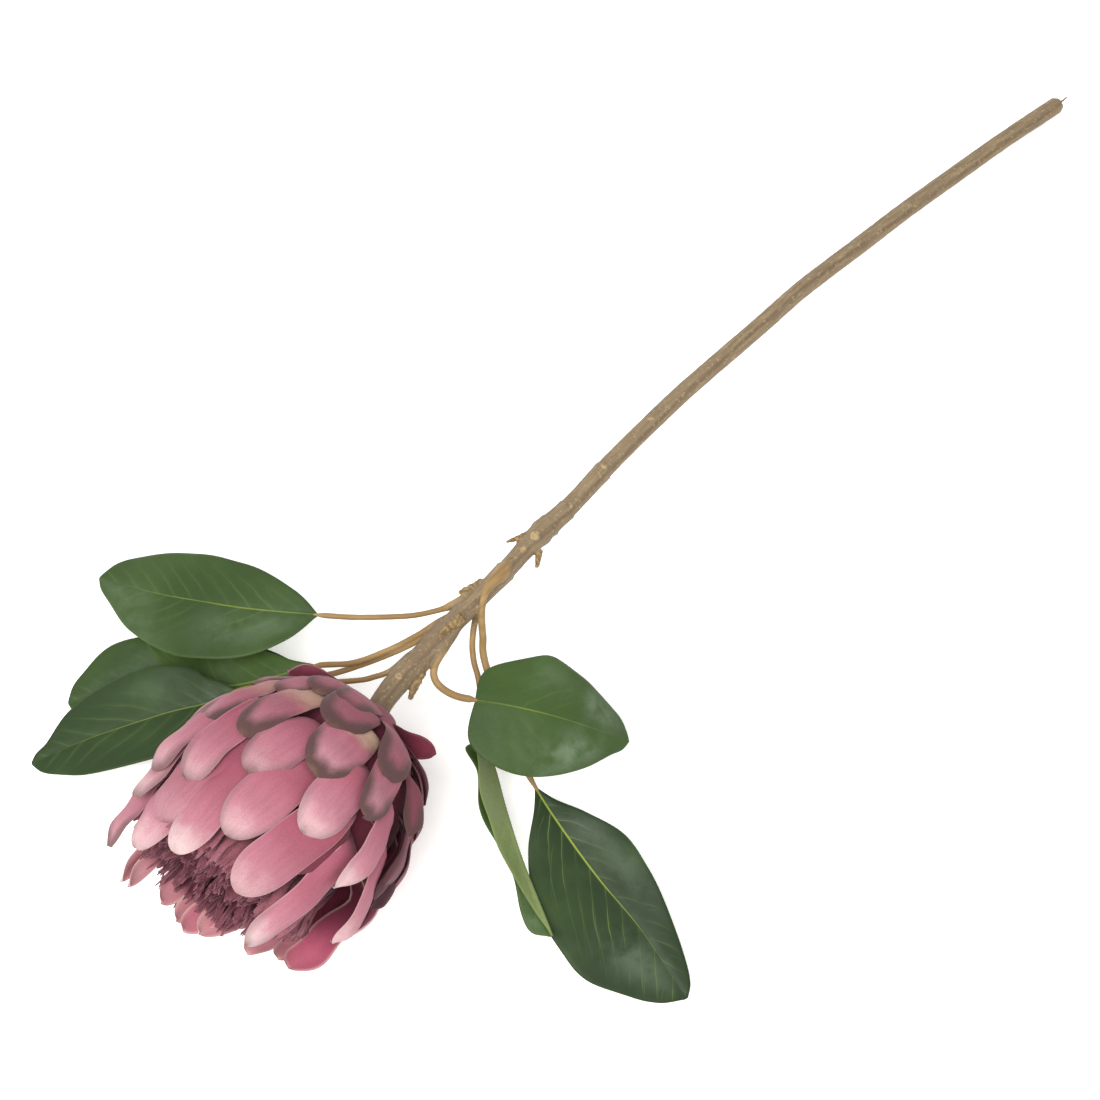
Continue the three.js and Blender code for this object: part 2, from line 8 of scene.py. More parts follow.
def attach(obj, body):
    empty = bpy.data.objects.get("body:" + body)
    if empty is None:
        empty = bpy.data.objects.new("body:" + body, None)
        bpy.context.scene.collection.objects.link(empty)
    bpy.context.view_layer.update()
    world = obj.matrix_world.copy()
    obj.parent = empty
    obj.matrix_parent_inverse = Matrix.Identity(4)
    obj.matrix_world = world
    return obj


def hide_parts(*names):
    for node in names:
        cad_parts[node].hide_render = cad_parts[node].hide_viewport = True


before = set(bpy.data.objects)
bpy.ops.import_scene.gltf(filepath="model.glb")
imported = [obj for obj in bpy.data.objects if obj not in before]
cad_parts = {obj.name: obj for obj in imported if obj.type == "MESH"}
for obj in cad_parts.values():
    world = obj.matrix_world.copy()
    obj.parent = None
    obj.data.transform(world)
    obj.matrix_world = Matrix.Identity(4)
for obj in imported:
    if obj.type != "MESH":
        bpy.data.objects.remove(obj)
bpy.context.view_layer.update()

# A cut protea stem that lies on a pale floor: bracts, a brush of florets, a woody stem and seven leaves.
# Lengths are in millimetres and places are measured from a point under the neck, as in the solids.
# A mesh is moved to the part's own origin, and to metres, when it is made.

MM = 0.001
ORIGIN = np.array((56.5, -27.4, 0.0))

# The flower head: its base, the direction of its axis in degrees, and the outline that the bracts
# follow, as heights along the axis and radii
HEAD_BASE = np.array((-133.7, -13.4, 59.7))
HEAD_YAW = 6
HEAD_RISE = 7
HEAD_OUTLINE = [
    (-3, 7), (0, 20), (5, 36), (10, 45), (20, 54), (37, 61.5), (50, 66), (65, 69),
    (80, 68.5), (100, 64.5), (120, 58), (140, 51), (155, 45),
]
CUP_OUTLINE = [
    (-6, 0.1), (-6, 8), (-1, 14), (4, 26), (12, 34), (25, 42), (40, 47), (56, 49),
    (66, 47), (70, 38), (70, 0.1),
]
CUP_SIDES = 48

# A bract's foot as a share of its width, and the share of its length where it is full width
BRACT_FOOT = 0.6
BRACT_SHOULDER = 0.55
# How deep a ring lies under the one outside it, and over which length it comes up beyond it
RING_PITCH = 2.8
RING_FADE = 16
# The mouth's rim stands higher towards one azimuth and the head is flatter at another, by so much
MOUTH_SLANT = (6, 50)
FLAT_SIDE = (4, -108)
FLAT_START = 60

# The rings of bracts, outermost first: tip height, half width, where along the outline a bract starts
# and how deep, its tip's rounding as a share of the half width, its share of the mouth's slant, the
# hidden bracts' azimuths and count, and the tints
RING_WORDS = ("tip", "half", "root", "sink", "tip_round", "slant", "hidden", "tint")
RINGS = [dict(zip(RING_WORDS, row)) for row in (
    (17, 11, 1, 1, 1.1, 0, (-110, -258, 5), dict(brown=0.9, dark_paint_and_shade=0.25)),
    (34, 14, 8, 5, 1.1, 0, (-116, -270, 5), dict(brown=0.8, dark_paint_and_shade=0.2)),
    (63, 13.5, 30, 8, 1.25, 0, (-112, -266, 6), dict(brown=0.7, pale=0.2, cream=0.4)),
    (88, 12.5, 55, 11, 1.5, 0, (-116, -258, 5), dict(brown=0.3, pale=0.6)),
    (114, 12.5, 72, 13, 1.7, 0.5, (-138, -262, 4), dict(brown=0.15, pale=0.7)),
    (128, 12, 86, 14, 1.9, 1, (0, 0, 0), dict(brown=0.1, pale=0.9)),
)]

# The bracts that the photo shows: ring, azimuth, tip height, half width, then what is special.
# sweep turns the foot sideways and twist the bract about its own length, in degrees. flare pushes
# the tip outward and inset all but the foot inward, in mm. point makes the tip more pointed, and roll
# lifts a margin. The rest are tints; the darkness number is a real deeper crimson near the neck, and
# painted shade on the dark and near-black bracts of the right flank and in slits of the mouth. The
# last three bracts are dark ones that close gaps on the side, their darkness painted shade.
SEEN = [
    (0, 62, 15.5, 8.5, dict(flare=2, twist=-35, dark_paint_and_shade=0.45, brown=0.3)),
    (0, 27, 20, 11, dict(flare=-2, dark_paint_and_shade=0.6, brown=1.5)),
    (0, 7, 18.5, 10, dict(flare=-2, dark_paint_and_shade=0.6, brown=1.5)),
    (0, -66, 6, 7.3, dict(flare=8, twist=30, point=0.6, dark_paint_and_shade=0.8, brown=1, pale=0)),
    (1, 40, 32, 10, dict(flare=-1.5, dark_paint_and_shade=0.45, brown=1)),
    (1, 2, 34, 13.5, dict(dark_paint_and_shade=0.62, brown=2.3)),
    (1, -34, 33, 11.5, dict(dark_paint_and_shade=0.6, brown=2.1)),
    (1, -64, 44, 6.8, dict(flare=8, inset=6.5, twist=-48, point=1, dark_paint_and_shade=0.85, brown=1.4)),
    (1, 68, 31, 12, dict(dark_paint_and_shade=0.4, brown=1)),
    (2, 56, 72, 11, dict(flare=-2.5, dark_paint_and_shade=0.35, brown=2.3)),
    (2, 26, 66, 10, dict(cream=0.8, brown=2.2, dark_paint_and_shade=0.45)),
    (2, -10, 60, 14, dict(cream=0.8, brown=1.9, dark_paint_and_shade=0.22)),
    (2, -37, 56, 10, dict(brown=1.3, dark_paint_and_shade=0.3)),
    (2, 79, 66, 12, dict(dark_paint_and_shade=0.2)),
    # A dark bract on the right flank, its darkness painted shade
    (2, -79, 66, 10, dict(dark_paint_and_shade=1.05, brown=0.8, flare=-1)),
    (3, 80, 88, 11, dict(brown=0.5)),
    (3, 59, 100.5, 12, dict(flare=2.5, brown=0.7, pale=0.3, dark_paint_and_shade=0.1)),
    (3, 33, 99, 10.5, dict(brown=0.5, pale=0.38, roll=1, dark_paint_and_shade=0.15)),
    (3, 11, 80.5, 12.5, dict(sweep=-6, brown=0.6, pale=0.3, dark_paint_and_shade=0.18)),
    (3, -23.5, 85, 13, dict(pale=0.42, brown=0.4, dark_paint_and_shade=0.08)),
    (3, -53, 90, 8.5, dict(pale=0.62, point=1, brown=0.3)),
    # Two near-black bracts on the right flank, painted shade
    (3, -80, 74, 9, dict(dark_paint_and_shade=1.2, brown=0, pale=0)),
    (3, -88, 77, 10, dict(flare=-1, twist=-42, point=0.5, dark_paint_and_shade=1.35, brown=0, pale=0)),
    (4, 61, 112, 11, dict(flare=3, brown=0.6, pale=0.5, dark_paint_and_shade=0.1)),
    (4, 36, 118, 14, dict(sweep=-6, pale=0.2, dark_paint_and_shade=0.3)),
    (4, 1, 107.5, 13.5, dict(sweep=-8, pale=0.4, brown=0.4, dark_paint_and_shade=0.12)),
    (4, -20, 124, 13, dict(sweep=-12, pale=0.38, dark_paint_and_shade=0.12)),
    (4, -84, 104, 7.5, dict(sweep=30, flare=2.5, twist=-16, pale=0.5)),
    (5, 72, 133, 10, dict(flare=2, twist=18, brown=0.7, pale=0.2, point=1, dark_paint_and_shade=0.1)),
    (5, 42, 131, 13.5, dict(sweep=-4, pale=0.5, brown=0.3)),
    (5, 18, 124.5, 11, dict(sweep=-6, pale=0.78, dark_paint_and_shade=0.16)),
    (5, -47, 138, 8.5, dict(pale=0.65, brown=0.4)),
    # Two dark bracts in slits of the mouth, painted shade
    (5, -34, 100, 9, dict(dark_paint_and_shade=1, pale=0)),
    (5, -3, 103, 9, dict(dark_paint_and_shade=0.9)),
    (5, -118, 124.5, 10.5, dict(flare=1, twist=45, brown=0.6, pale=0.2)),
    (5, -156, 126, 8, dict(flare=1, pale=0.8)),
    (5, -184, 131, 9, dict(sweep=20, flare=1, pale=0.9)),
    (5, -192, 135, 8, dict(sweep=20, pale=0.5)),
    (5, -199, 132, 8, dict(sweep=20, flare=2, pale=0.8)),
    (5, -211, 130, 8, dict(flare=2, pale=0.8)),
    (5, -229, 134, 6, dict(flare=4, pale=1.3, point=0.5)),
    (5, -236, 134, 6, dict(flare=5, pale=0.8, point=0.5)),
    (0, -92, 16, 10, dict(dark_paint_and_shade=0.6, brown=0.8)),
    (1, -90, 33, 11, dict(dark_paint_and_shade=0.8, brown=0.8)),
    (2, -98, 60, 11, dict(dark_paint_and_shade=0.9, brown=0.5)),
]

# The stem: points along its centre with its radius there, from the cut end into the cup
STEM_POINTS = [
    (395.6, 0.1, 4.6, 4.7), (354, 5, 8.3, 4.6), (319, 8, 11.7, 4.7), (281, 11, 15.6, 4.7),
    (242, 13, 19.6, 4.8), (204, 15, 23.6, 4.8), (170, 14.5, 27.2, 4.8), (139, 14.3, 30.6, 4.8),
    (112, 14, 33.4, 4.8), (86, 12.6, 36.3, 4.8), (54, 10.3, 39.8, 4.8), (20, 6.6, 43.5, 5.0),
    (1, 6.0, 45.6, 5.5), (-14, 4.7, 47.3, 5.1), (-26, 3, 48.7, 5.0), (-45, 1.4, 50.7, 5.0),
    (-56, 0.2, 52, 5.1), (-67.2, 0, 53, 5.5), (-78.5, -1.8, 54.2, 6.1), (-90.5, -2.9, 55.4, 6.2),
    (-104.4, -3.9, 56.8, 6.4), (-121.1, -6.6, 58.2, 6.0), (-129.9, -9.4, 58.9, 5.8),
]
# The end of the wire inside the stem
WIRE = [(393, 0.2, 5.2), (401, -0.8, 5.6)]
WIRE_RADIUS = 0.7
# Bud stubs: start, tip, radius at both
BUDS = [
    ((-7, 9, 48), (-18.3, 13.6, 50), 1.9, 0.7),
    ((-8, -0.5, 46), (-15.8, -6.7, 47), 1.9, 1.0),
    ((-42, 5.6, 51), (-55.6, 9.5, 54), 2.3, 0.8),
    ((-65.2, -2.6, 58.2), (-79.1, -2.5, 63), 3.1, 0.9),
    ((-95, -6.5, 55), (-112.5, -14.8, 54), 3.2, 1.1),
    ((-53, -3, 46.5), (-60, -6.5, 46), 1.6, 0.8),
]
# Round leaf scars: middle and radius
SCARS = [
    ((86, 12.4, 40.6), 1.4), ((48, 9.6, 44.4), 1.5), ((19.6, 4.7, 48.3), 1.0), ((-6, 5.2, 51.4), 2.3),
    ((-15.6, 3.8, 52.2), 1.7), ((-110, -4.6, 63), 1.6), ((43, 7.2, 44.8), 0.9),
]
# Steps in the bark: place along x and height
STEPS = [(49, 0.55), (18.5, 0.6), (-29, 0.8), (6, 0.5)]

# Each leaf has a path: its petiole, then the midrib from point number base. stalk is the petiole's
# radius at both ends. left and right are the widths of the halves at the stations along the midrib,
# and lift their rise in degrees at the base, a fifth along and at the tip. wave, waves and phase set
# the margin's waves, tone how dark the leaf is, ribs how strong the veins of each half are, and back
# how far the base lobes reach back. The last list holds spots of painted sheen, pale patches laid into
# the colour where the leaf would show a soft reflection: along, across, strength.
STATIONS = (0, 0.1, 0.24, 0.42, 0.6, 0.78, 0.91, 0.97, 1)
LEAVES = {}
LEAVES["leaf_upper_left"] = dict(
    path=[(-49, 3, 51), (-61, 7.3, 50.5), (-70, 11.2, 51), (-82.3, 19, 51.5), (-101, 37, 49.5),
          (-114, 53, 46), (-136, 81, 41), (-150, 103, 35), (-163, 126, 27), (-176, 158, 12)],
    base=5, stalk=(3.6, 1.5),
    left=(0.8, 15.5, 28, 32, 30.6, 23.4, 11.8, 6, 0.8),
    right=(0.8, 11.8, 21.8, 25, 26, 24, 16.5, 10, 0.8),
    lift=((14, 12, 4), (10, 7, -6)),
    wave=0.7, waves=2.5, phase=0.4, tone=0.5, ribs=(0.0, 0.15), back=0.1,
    painted_sheen=((0.86, -0.35, 0.5), (0.36, -0.45, 0.5), (0.15, -0.4, 0.5), (0.75, -0.85, 0.4)))
LEAVES["leaf_middle_left"] = dict(
    path=[(-62, 0.5, 52.5), (-72, 5, 52), (-86.5, 8, 52), (-101, 12.7, 50), (-118, 21.6, 45),
          (-132, 36, 38), (-151, 49, 31), (-170, 65, 22), (-178, 86, 16), (-180, 117, 8)],
    base=5, stalk=(2.6, 1.6),
    left=(0.8, 12, 21.4, 26, 20, 9, 4.6, 3, 0.8),
    right=(0.8, 5, 13, 20, 23, 20, 12, 7.5, 0.8),
    lift=((-10, -9, -6), (8, 6, 0)),
    wave=0.7, waves=2, phase=1.8, tone=0.1, ribs=(0.1, 0.3), back=0,
    painted_sheen=((0.5, 0.4, 0.3),))
LEAVES["leaf_back_left"] = dict(
    path=[(-66, -1, 51), (-77, 3.8, 51.3), (-88.6, 6.4, 50), (-102.3, 11.8, 47), (-119, 20.8, 41),
          (-133, 31.5, 33), (-154, 52, 22), (-180, 78, 11), (-207, 104, 4.5), (-232, 121, 0.7)],
    base=5, stalk=(2.8, 1.6),
    left=(0.8, 8.5, 17, 23.5, 26, 22, 13, 8, 0.8),
    right=(0.8, 7.5, 17.5, 26, 29, 26.3, 14.5, 8, 0.8),
    lift=((4, 3, 0), (6, 6, 4)),
    wave=0.7, waves=2, phase=0.2, tone=0.45, ribs=(0, 0), back=0,
    painted_sheen=((0.75, 0.1, 0.6), (0.6, 0.6, 0.4)))
LEAVES["leaf_lower_left"] = dict(
    path=[(-90, -1, 55), (-97, 1.2, 55.8), (-103, 2, 55), (-110.3, 3.5, 53.5), (-116.1, 6.7, 51.5),
          (-124.8, 13.5, 48), (-149, 38, 39.5), (-169, 56, 32), (-184, 62, 29.5), (-203, 74, 26),
          (-239, 94.5, 15), (-267.5, 107.5, 6)],
    base=7, stalk=(3.0, 1.5),
    left=(0.8, 9, 17, 22.5, 22.8, 19, 11.4, 6.5, 0.8),
    right=(0.8, 9.5, 17.5, 24, 26.5, 18.4, 7, 4, 0.8),
    lift=((24, 21, 8), (10, 8, 2)),
    wave=0.7, waves=2, phase=2.6, tone=0.85, ribs=(0, 0), back=0,
    painted_sheen=((0.12, 0.25, 0.6), (0.5, 0.5, 0.25)))
LEAVES["leaf_near_right"] = dict(
    path=[(-68, -1.5, 54), (-81.1, -6.4, 56), (-87.7, -9.4, 56.5), (-93.3, -12.4, 56),
          (-96.4, -16.7, 55.3), (-96.5, -22.6, 54), (-93.8, -29.5, 52), (-88, -37, 50),
          (-77, -52, 49.5), (-65, -69, 46), (-53, -86, 37), (-40.5, -100.5, 20)],
    base=7, stalk=(4.2, 1.9),
    left=(1, 16.3, 25.6, 32.8, 29.3, 23.6, 16.3, 10.5, 0.8),
    right=(1, 20.6, 31, 33, 29, 19.8, 9.6, 5.5, 0.8),
    lift=((-4, -6, -14), (-4, -6, -14)),
    wave=0.8, waves=2, phase=0.9, tone=0.3, ribs=(0.1, 0.1), back=0.42,
    painted_sheen=((0.8, -0.5, 1.2), (0.7, 0.55, 1.3), (0.5, 0.75, 0.7), (0.45, -0.7, 0.4)))
LEAVES["leaf_folded_right"] = dict(
    path=[(-50, -2, 46.5), (-56.9, -4.5, 46), (-65.7, -11.1, 43), (-71.8, -18.2, 39),
          (-78, -29, 34), (-94, -49, 24), (-102.5, -66.5, 23.5), (-114, -88, 22.5),
          (-125, -110.3, 22), (-140, -146.2, 21.5)],
    base=5, stalk=(2.0, 1.6),
    left=(0.8, 13, 18.5, 22, 16.3, 11.8, 5, 1.5, 0.8),
    right=(0.8, 14, 11.5, 16.5, 10.5, 7.5, 10.3, 8.6, 0.8),
    lift=((112, 118, 142), (35, 45, 4)),
    wave=0.9, waves=3, phase=0, tone=0.2, ribs=(0, 0), back=0.4,
    painted_sheen=((0.85, 0.6, 0.9),))
LEAVES["leaf_low_right"] = dict(
    path=[(-24, 4, 50), (-33.9, 1.3, 55.2), (-40.6, 0.5, 57.4), (-46.8, -1.1, 58),
          (-51.9, -4.3, 56.6), (-56.4, -8.4, 52.5), (-61.3, -14.3, 46.5), (-68.5, -23.4, 38),
          (-84, -57, 27), (-92, -85, 19), (-97, -110, 17), (-101, -140, 13), (-103, -173, 7),
          (-110, -213, 0.7)],
    base=9, stalk=(4.0, 1.9),
    left=(0.8, 5.8, 14.8, 24.2, 22.8, 15.7, 9.8, 5.6, 0.8),
    right=(0.8, 8.1, 21, 34, 38.5, 38, 23, 12, 0.8),
    lift=((10, 9, 6), (12, 10, 4)),
    wave=1.4, waves=2.5, phase=1.2, tone=1.0, ribs=(0.4, 1.0), back=0,
    painted_sheen=((0.82, 0.3, 0.7), (0.52, -0.6, 0.5), (0.3, -0.5, 0.3)))

# The camera of the photo: where it aims, its direction in degrees, its distance and its lens
AIM = (0, 0, 30)
CAMERA_AZIMUTH = -44
CAMERA_ELEVATION = 70
CAMERA_DISTANCE = 1600
LENS = 100.7
SENSOR = 36


# Numbers

class Draws:
    """The seeded numbers that set the hidden bracts, drawn as the solids draw them."""

    def __init__(self, seed):
        self.seed = seed

    def jitter(self, amount):
        self.seed = (self.seed * 1664525 + 1013904223) % 2**32
        return (self.seed / 2**32 * 2 - 1) * amount


def smooth(x):
    """0 up to 0 and 1 from 1 on, with a smooth rise between them."""
    c = np.clip(x, 0, 1)
    return c * c * (3 - 2 * c)


def mix(a, b, x):
    return a + (b - a) * x


def unit(v):
    return v / np.maximum(np.linalg.norm(v, axis=-1, keepdims=True), 1e-12)


def triples(a, b, c):
    return np.stack(np.broadcast_arrays(a, b, c), -1)


def hermite(a, b, start, end, f):
    """A cubic from a to b that leaves with the slope start and arrives with the slope end."""
    f2, f3 = f**2, f**3
    return a * (2 * f3 - 3 * f2 + 1) + start * (f3 - 2 * f2 + f) + b * (3 * f2 - 2 * f3) + end * (f3 - f2)


def along(pairs, x):
    """A smooth value through a list of (place, value) pairs, at each place in x."""
    xs, ys = np.array(pairs, float).T
    last = len(xs) - 1
    i = np.searchsorted(xs[1:-1], x, side="left")
    before, after = np.maximum(i - 1, 0), np.minimum(i + 2, last)
    span = xs[i + 1] - xs[i]
    f = np.clip((x - xs[i]) / span, 0, 1)
    start = (ys[i + 1] - ys[before]) / (xs[i + 1] - xs[before]) * span
    end = (ys[after] - ys[i]) / (xs[after] - xs[i]) * span
    return hermite(ys[i], ys[i + 1], start, end, f)


def path_at(points, x):
    """Centre, tangent, right and up of a smooth path at x, which counts its points."""
    points = np.array(points, float)
    padded = np.concatenate(([2 * points[0] - points[1]], points, [2 * points[-1] - points[-2]]))
    i = np.minimum(np.floor(x).astype(int), len(points) - 2)
    f = (x - i)[:, None]
    a, b, c, d = (padded[i + k] for k in range(4))
    start, end = (c - a) / 2, (d - b) / 2
    centre = hermite(b, c, start, end, f)
    f2 = f**2
    slope = (b - c) * (6 * f2 - 6 * f) + start * (3 * f2 - 4 * f + 1) + end * (3 * f2 - 2 * f)
    tangent = unit(slope)
    right = unit(np.cross(tangent, (0, 0, 1)))
    return centre, tangent, right, np.cross(right, tangent)


def ripples(points, size, seed):
    """Smooth noise from -1 to 1 at each point, with waves of about the size given, in millimetres."""
    flat = points.reshape(-1, 3) / size + seed * 17.3
    values = [noise.noise(Vector(p)) for p in flat]
    return np.array(values).reshape(points.shape[:-1])


# Meshes

def add_object(name, data):
    thing = bpy.data.objects.new(name, data)
    bpy.context.scene.collection.objects.link(thing)
    return thing


class Skin:
    """Collects grids of points in one mesh, with the numbers that its material reads."""

    def __init__(self):
        self.points = []
        self.faces = []
        self.numbers = {}
        self.count = 0

    def add(self, points, faces, **numbers):
        flat = points.reshape(-1, 3)
        self.points.append(flat)
        self.faces += (faces + self.count).tolist()
        for name, values in numbers.items():
            self.numbers.setdefault(name, []).append(np.broadcast_to(values, points.shape).reshape(-1, 3))
        self.count += len(flat)

    def piece(self, name, material):
        mesh = bpy.data.meshes.new(name)
        places = (np.concatenate(self.points) - ORIGIN) * MM
        mesh.from_pydata(places.tolist(), [], self.faces)
        for word, values in self.numbers.items():
            write_numbers(mesh, word, np.concatenate(values))
        mesh.shade_smooth()
        mesh.materials.append(material)
        return add_object(name, mesh)


def write_numbers(mesh, name, values):
    attribute = mesh.attributes.new(name, "FLOAT_VECTOR", "POINT")
    attribute.data.foreach_set("vector", values.astype(np.float32).ravel())


def grid_faces(rows, across, wrap=False):
    i, j = np.meshgrid(np.arange(rows - 1), np.arange(across if wrap else across - 1), indexing="ij")
    a = (i * across + j).ravel()
    b = (i * across + (j + 1) % across).ravel()
    return np.stack((a, b, b + across, a + across), 1)


def border(rows, across):
    """The numbers of a grid's outer points, in order round it."""
    grid = np.arange(rows * across).reshape(rows, across)
    return np.concatenate((grid[0, :-1], grid[:-1, -1], grid[-1, :0:-1], grid[:0:-1, 0]))


def add_blade(skin, s, u, points, halves, outside, **numbers):
    """A sheet with two faces and a rim. outside points to its first face. "place" holds s, u, and 0
    on that face or 1 on the other."""
    rows, across = points.shape[:2]
    normals = unit(np.cross(np.gradient(points, axis=0), np.gradient(points, axis=1)))
    turned = np.sum(normals * outside) < 0
    normals = -normals if turned else normals
    both = np.concatenate((points + normals * halves[..., None], points - normals * halves[..., None]))
    first = grid_faces(rows, across)
    second = first + rows * across
    rim = border(rows, across)
    ahead = np.roll(rim, -1)
    sides = np.stack((rim, rim + rows * across, ahead + rows * across, ahead), 1)
    if turned:
        second = second[:, ::-1]
    else:
        first, sides = first[:, ::-1], sides[:, ::-1]
    numbers["place"] = triples(s, u, 0.0)
    doubled = {name: np.concatenate([np.broadcast_to(v, points.shape)] * 2) for name, v in numbers.items()}
    doubled["place"][rows:, :, 2] = 1
    skin.add(both, np.concatenate((first, second, sides)), **doubled)


def stand_for(thing, node):
    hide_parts(node)
    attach(thing, "root")


# Materials

# Where the first face of a blade gives way to the second
OTHER_FACE = (0.35, 0.65)
# Side veins of a leaf: the distance between them along the midrib, and square to the veins
VEIN_PITCH, VEIN_GAP = 12.5, 8.8


def paint(code):
    """A colour written as six hexadecimal digits, as Blender's linear red, green, blue and alpha."""
    levels = [int(code[k:k + 2], 16) / 255 for k in (0, 2, 4)]
    return tuple(v / 12.92 if v <= 0.04045 else ((v + 0.055) / 1.055) ** 2.4 for v in levels) + (1.0,)


class Shade:
    """A material's nodes, with short names for what the materials share."""

    def __init__(self, name):
        self.material = bpy.data.materials.new(name)
        self.material.use_nodes = True
        self.tree = self.material.node_tree
        self.shader = self.tree.nodes["Principled BSDF"]

    def node(self, kind, inputs, **settings):
        made = self.tree.nodes.new("ShaderNode" + kind)
        for name, value in settings.items():
            setattr(made, name, value)
        for name, value in inputs.items():
            self.set(made.inputs[name], value)
        return made

    def set(self, socket, value):
        if isinstance(value, bpy.types.NodeSocket):
            self.tree.links.new(value, socket)
        else:
            socket.default_value = paint(value) if isinstance(value, str) else value

    def finish(self, color, roughness, **others):
        for name, value in {"Base Color": color, "Roughness": roughness, **others}.items():
            self.set(self.shader.inputs[name.replace("_", " ")], value)
        return self.material

    def numbers(self, name):
        """The three numbers of one of the mesh's attributes."""
        attribute = self.node("Attribute", {}, attribute_name=name)
        return self.node("SeparateXYZ", {0: attribute.outputs["Vector"]}).outputs[:3]

    def math(self, operation, a, b=0.0, clamp=False):
        return self.node("Math", {0: a, 1: b}, operation=operation, use_clamp=clamp).outputs[0]

    def times(self, a, b, clamp=False):
        return self.math("MULTIPLY", a, b, clamp)

    def plus(self, a, b):
        return self.math("ADD", a, b)

    def minus(self, a, b):
        return self.math("SUBTRACT", a, b)

    def step(self, value, low, high):
        """0 at low and 1 at high, with a smooth rise or fall between them."""
        inputs = {"Value": value, "From Min": low, "From Max": high}
        return self.node("MapRange", inputs, interpolation_type="SMOOTHSTEP").outputs["Result"]

    def blend(self, amount, a, b, how="MIX"):
        made = self.node("Mix", {0: amount, 6: a, 7: b}, data_type="RGBA", blend_type=how)
        return made.outputs[2]

    def coats(self, color, *layers):
        """The colour with others laid over it: where each is, its code and its strength if not full."""
        for mask, code, *strength in layers:
            amount = self.times(mask, *strength) if strength else mask
            color = self.blend(amount, color, code)
        return color

    def noise(self, scale, detail=3.0, vector=None, roughness=0.55):
        inputs = {"Scale": scale, "Detail": detail, "Roughness": roughness}
        inputs["Vector"] = vector or self.node("TexCoord", {}).outputs["Object"]
        return self.node("TexNoise", inputs).outputs["Fac"]

    def vector(self, x, y, z):
        return self.node("CombineXYZ", {0: x, 1: y, 2: z}).outputs[0]

    def bump(self, height, strength, distance, **below):
        inputs = {"Height": height, "Strength": strength, "Distance": distance, **below}
        return self.node("Bump", inputs).outputs[0]


def bract_material():
    """Brushed cloth: dusty pink outside, with pale or brown tips, and crimson inside."""
    m = Shade("bract_cloth")
    _, u, face = m.numbers("place")
    pale, brown, cream = m.numbers("tint")
    edge, from_tip, dark_paint_and_shade = m.numbers("reach")
    cloud = m.noise(45, 3)
    patch = m.noise(140, 4)
    grain = m.noise(1500, 2, roughness=0.7)
    streak = m.noise(1.0, 3, m.vector(m.times(from_tip, 0.05), m.times(u, 7.0), dark_paint_and_shade))
    ragged = m.plus(edge, m.times(m.minus(patch, 0.5), 4.0))
    ragged_tip = m.plus(from_tip, m.times(m.minus(patch, 0.5), 14.0))

    outer = m.coats(
        m.blend(m.step(from_tip, 10, 46), "a8727d", "8b4756"),
        (m.step(cloud, 0.35, 0.7), "975c68", 0.45),
        (m.step(streak, 0.4, 0.75), "7f4453", 0.25),
        (m.times(pale, m.step(ragged_tip, 20, 0), clamp=True), "d2c1bd"),
        (m.times(cream, m.step(ragged_tip, 28, 44)), "bda98a"),
        # A pale line along the margin, a painted highlight where the edge catches the light
        (m.step(edge, 0.9, 0.2), "bb9c9d", 0.35),
        (m.times(dark_paint_and_shade, 0.9, clamp=True), "6e2838"),
    )

    # The browned rim is broad near the tip and fades towards the foot
    near_tip = m.step(from_tip, 34, 6)
    growth = m.times(near_tip, m.plus(m.times(brown, 2.6), 3.0))
    worn = m.minus(m.plus(ragged, 3.0), growth)
    rim = m.times(m.times(brown, 1.1, clamp=True), m.step(worn, 5.4, -1.6))
    mark = m.times(m.step(ragged_tip, 3.5, -3.0), m.step(brown, -0.1, 0.3))
    outer = m.coats(outer, (rim, "4c3735"), (mark, "664c40", 0.8))

    # Inside, crimson that darkens towards the foot, painted shade where it goes deep into the head
    inner = m.coats(
        m.blend(m.step(from_tip, 12, 60), "b0506a", "4a1423"),
        (m.step(cloud, 0.4, 0.7), "7d2f45", 0.3),
        (m.times(pale, m.step(ragged_tip, 34, 2), clamp=True), "b88487"),
        # A pale line along the margin, a painted highlight where the edge catches the light
        (m.step(edge, 2, 0.3), "c4a49c", 0.6),
        (m.times(m.step(ragged_tip, 8, -2), m.times(brown, 0.8)), "57392f"),
        (m.times(dark_paint_and_shade, 0.9, clamp=True), "6e2838"),
    )

    color = m.blend(m.step(face, *OTHER_FACE), outer, inner)
    # Darkened by the bract's darkness number: real deeper crimson near the neck, and painted shade on the
    # dark bracts of the right flank, near black from 0.9 up
    color = m.coats(color, (dark_paint_and_shade, "3f1a22", 0.35), (m.step(dark_paint_and_shade, 0.9, 1.4), "2b0713"))
    speck = m.plus(0.72, m.times(grain, 0.56))
    grey = m.node("CombineColor", {0: speck, 1: speck, 2: speck}).outputs[0]
    color = m.blend(1.0, color, grey, "MULTIPLY")
    height = m.plus(m.times(grain, 0.5), m.times(streak, 0.8))
    return m.finish(color, 0.82, Normal=m.bump(height, 0.35, 0.0004), Specular_IOR_Level=0.2,
                    Sheen_Weight=0.14, Sheen_Roughness=0.45, Sheen_Tint=(0.9, 0.62, 0.66, 1))


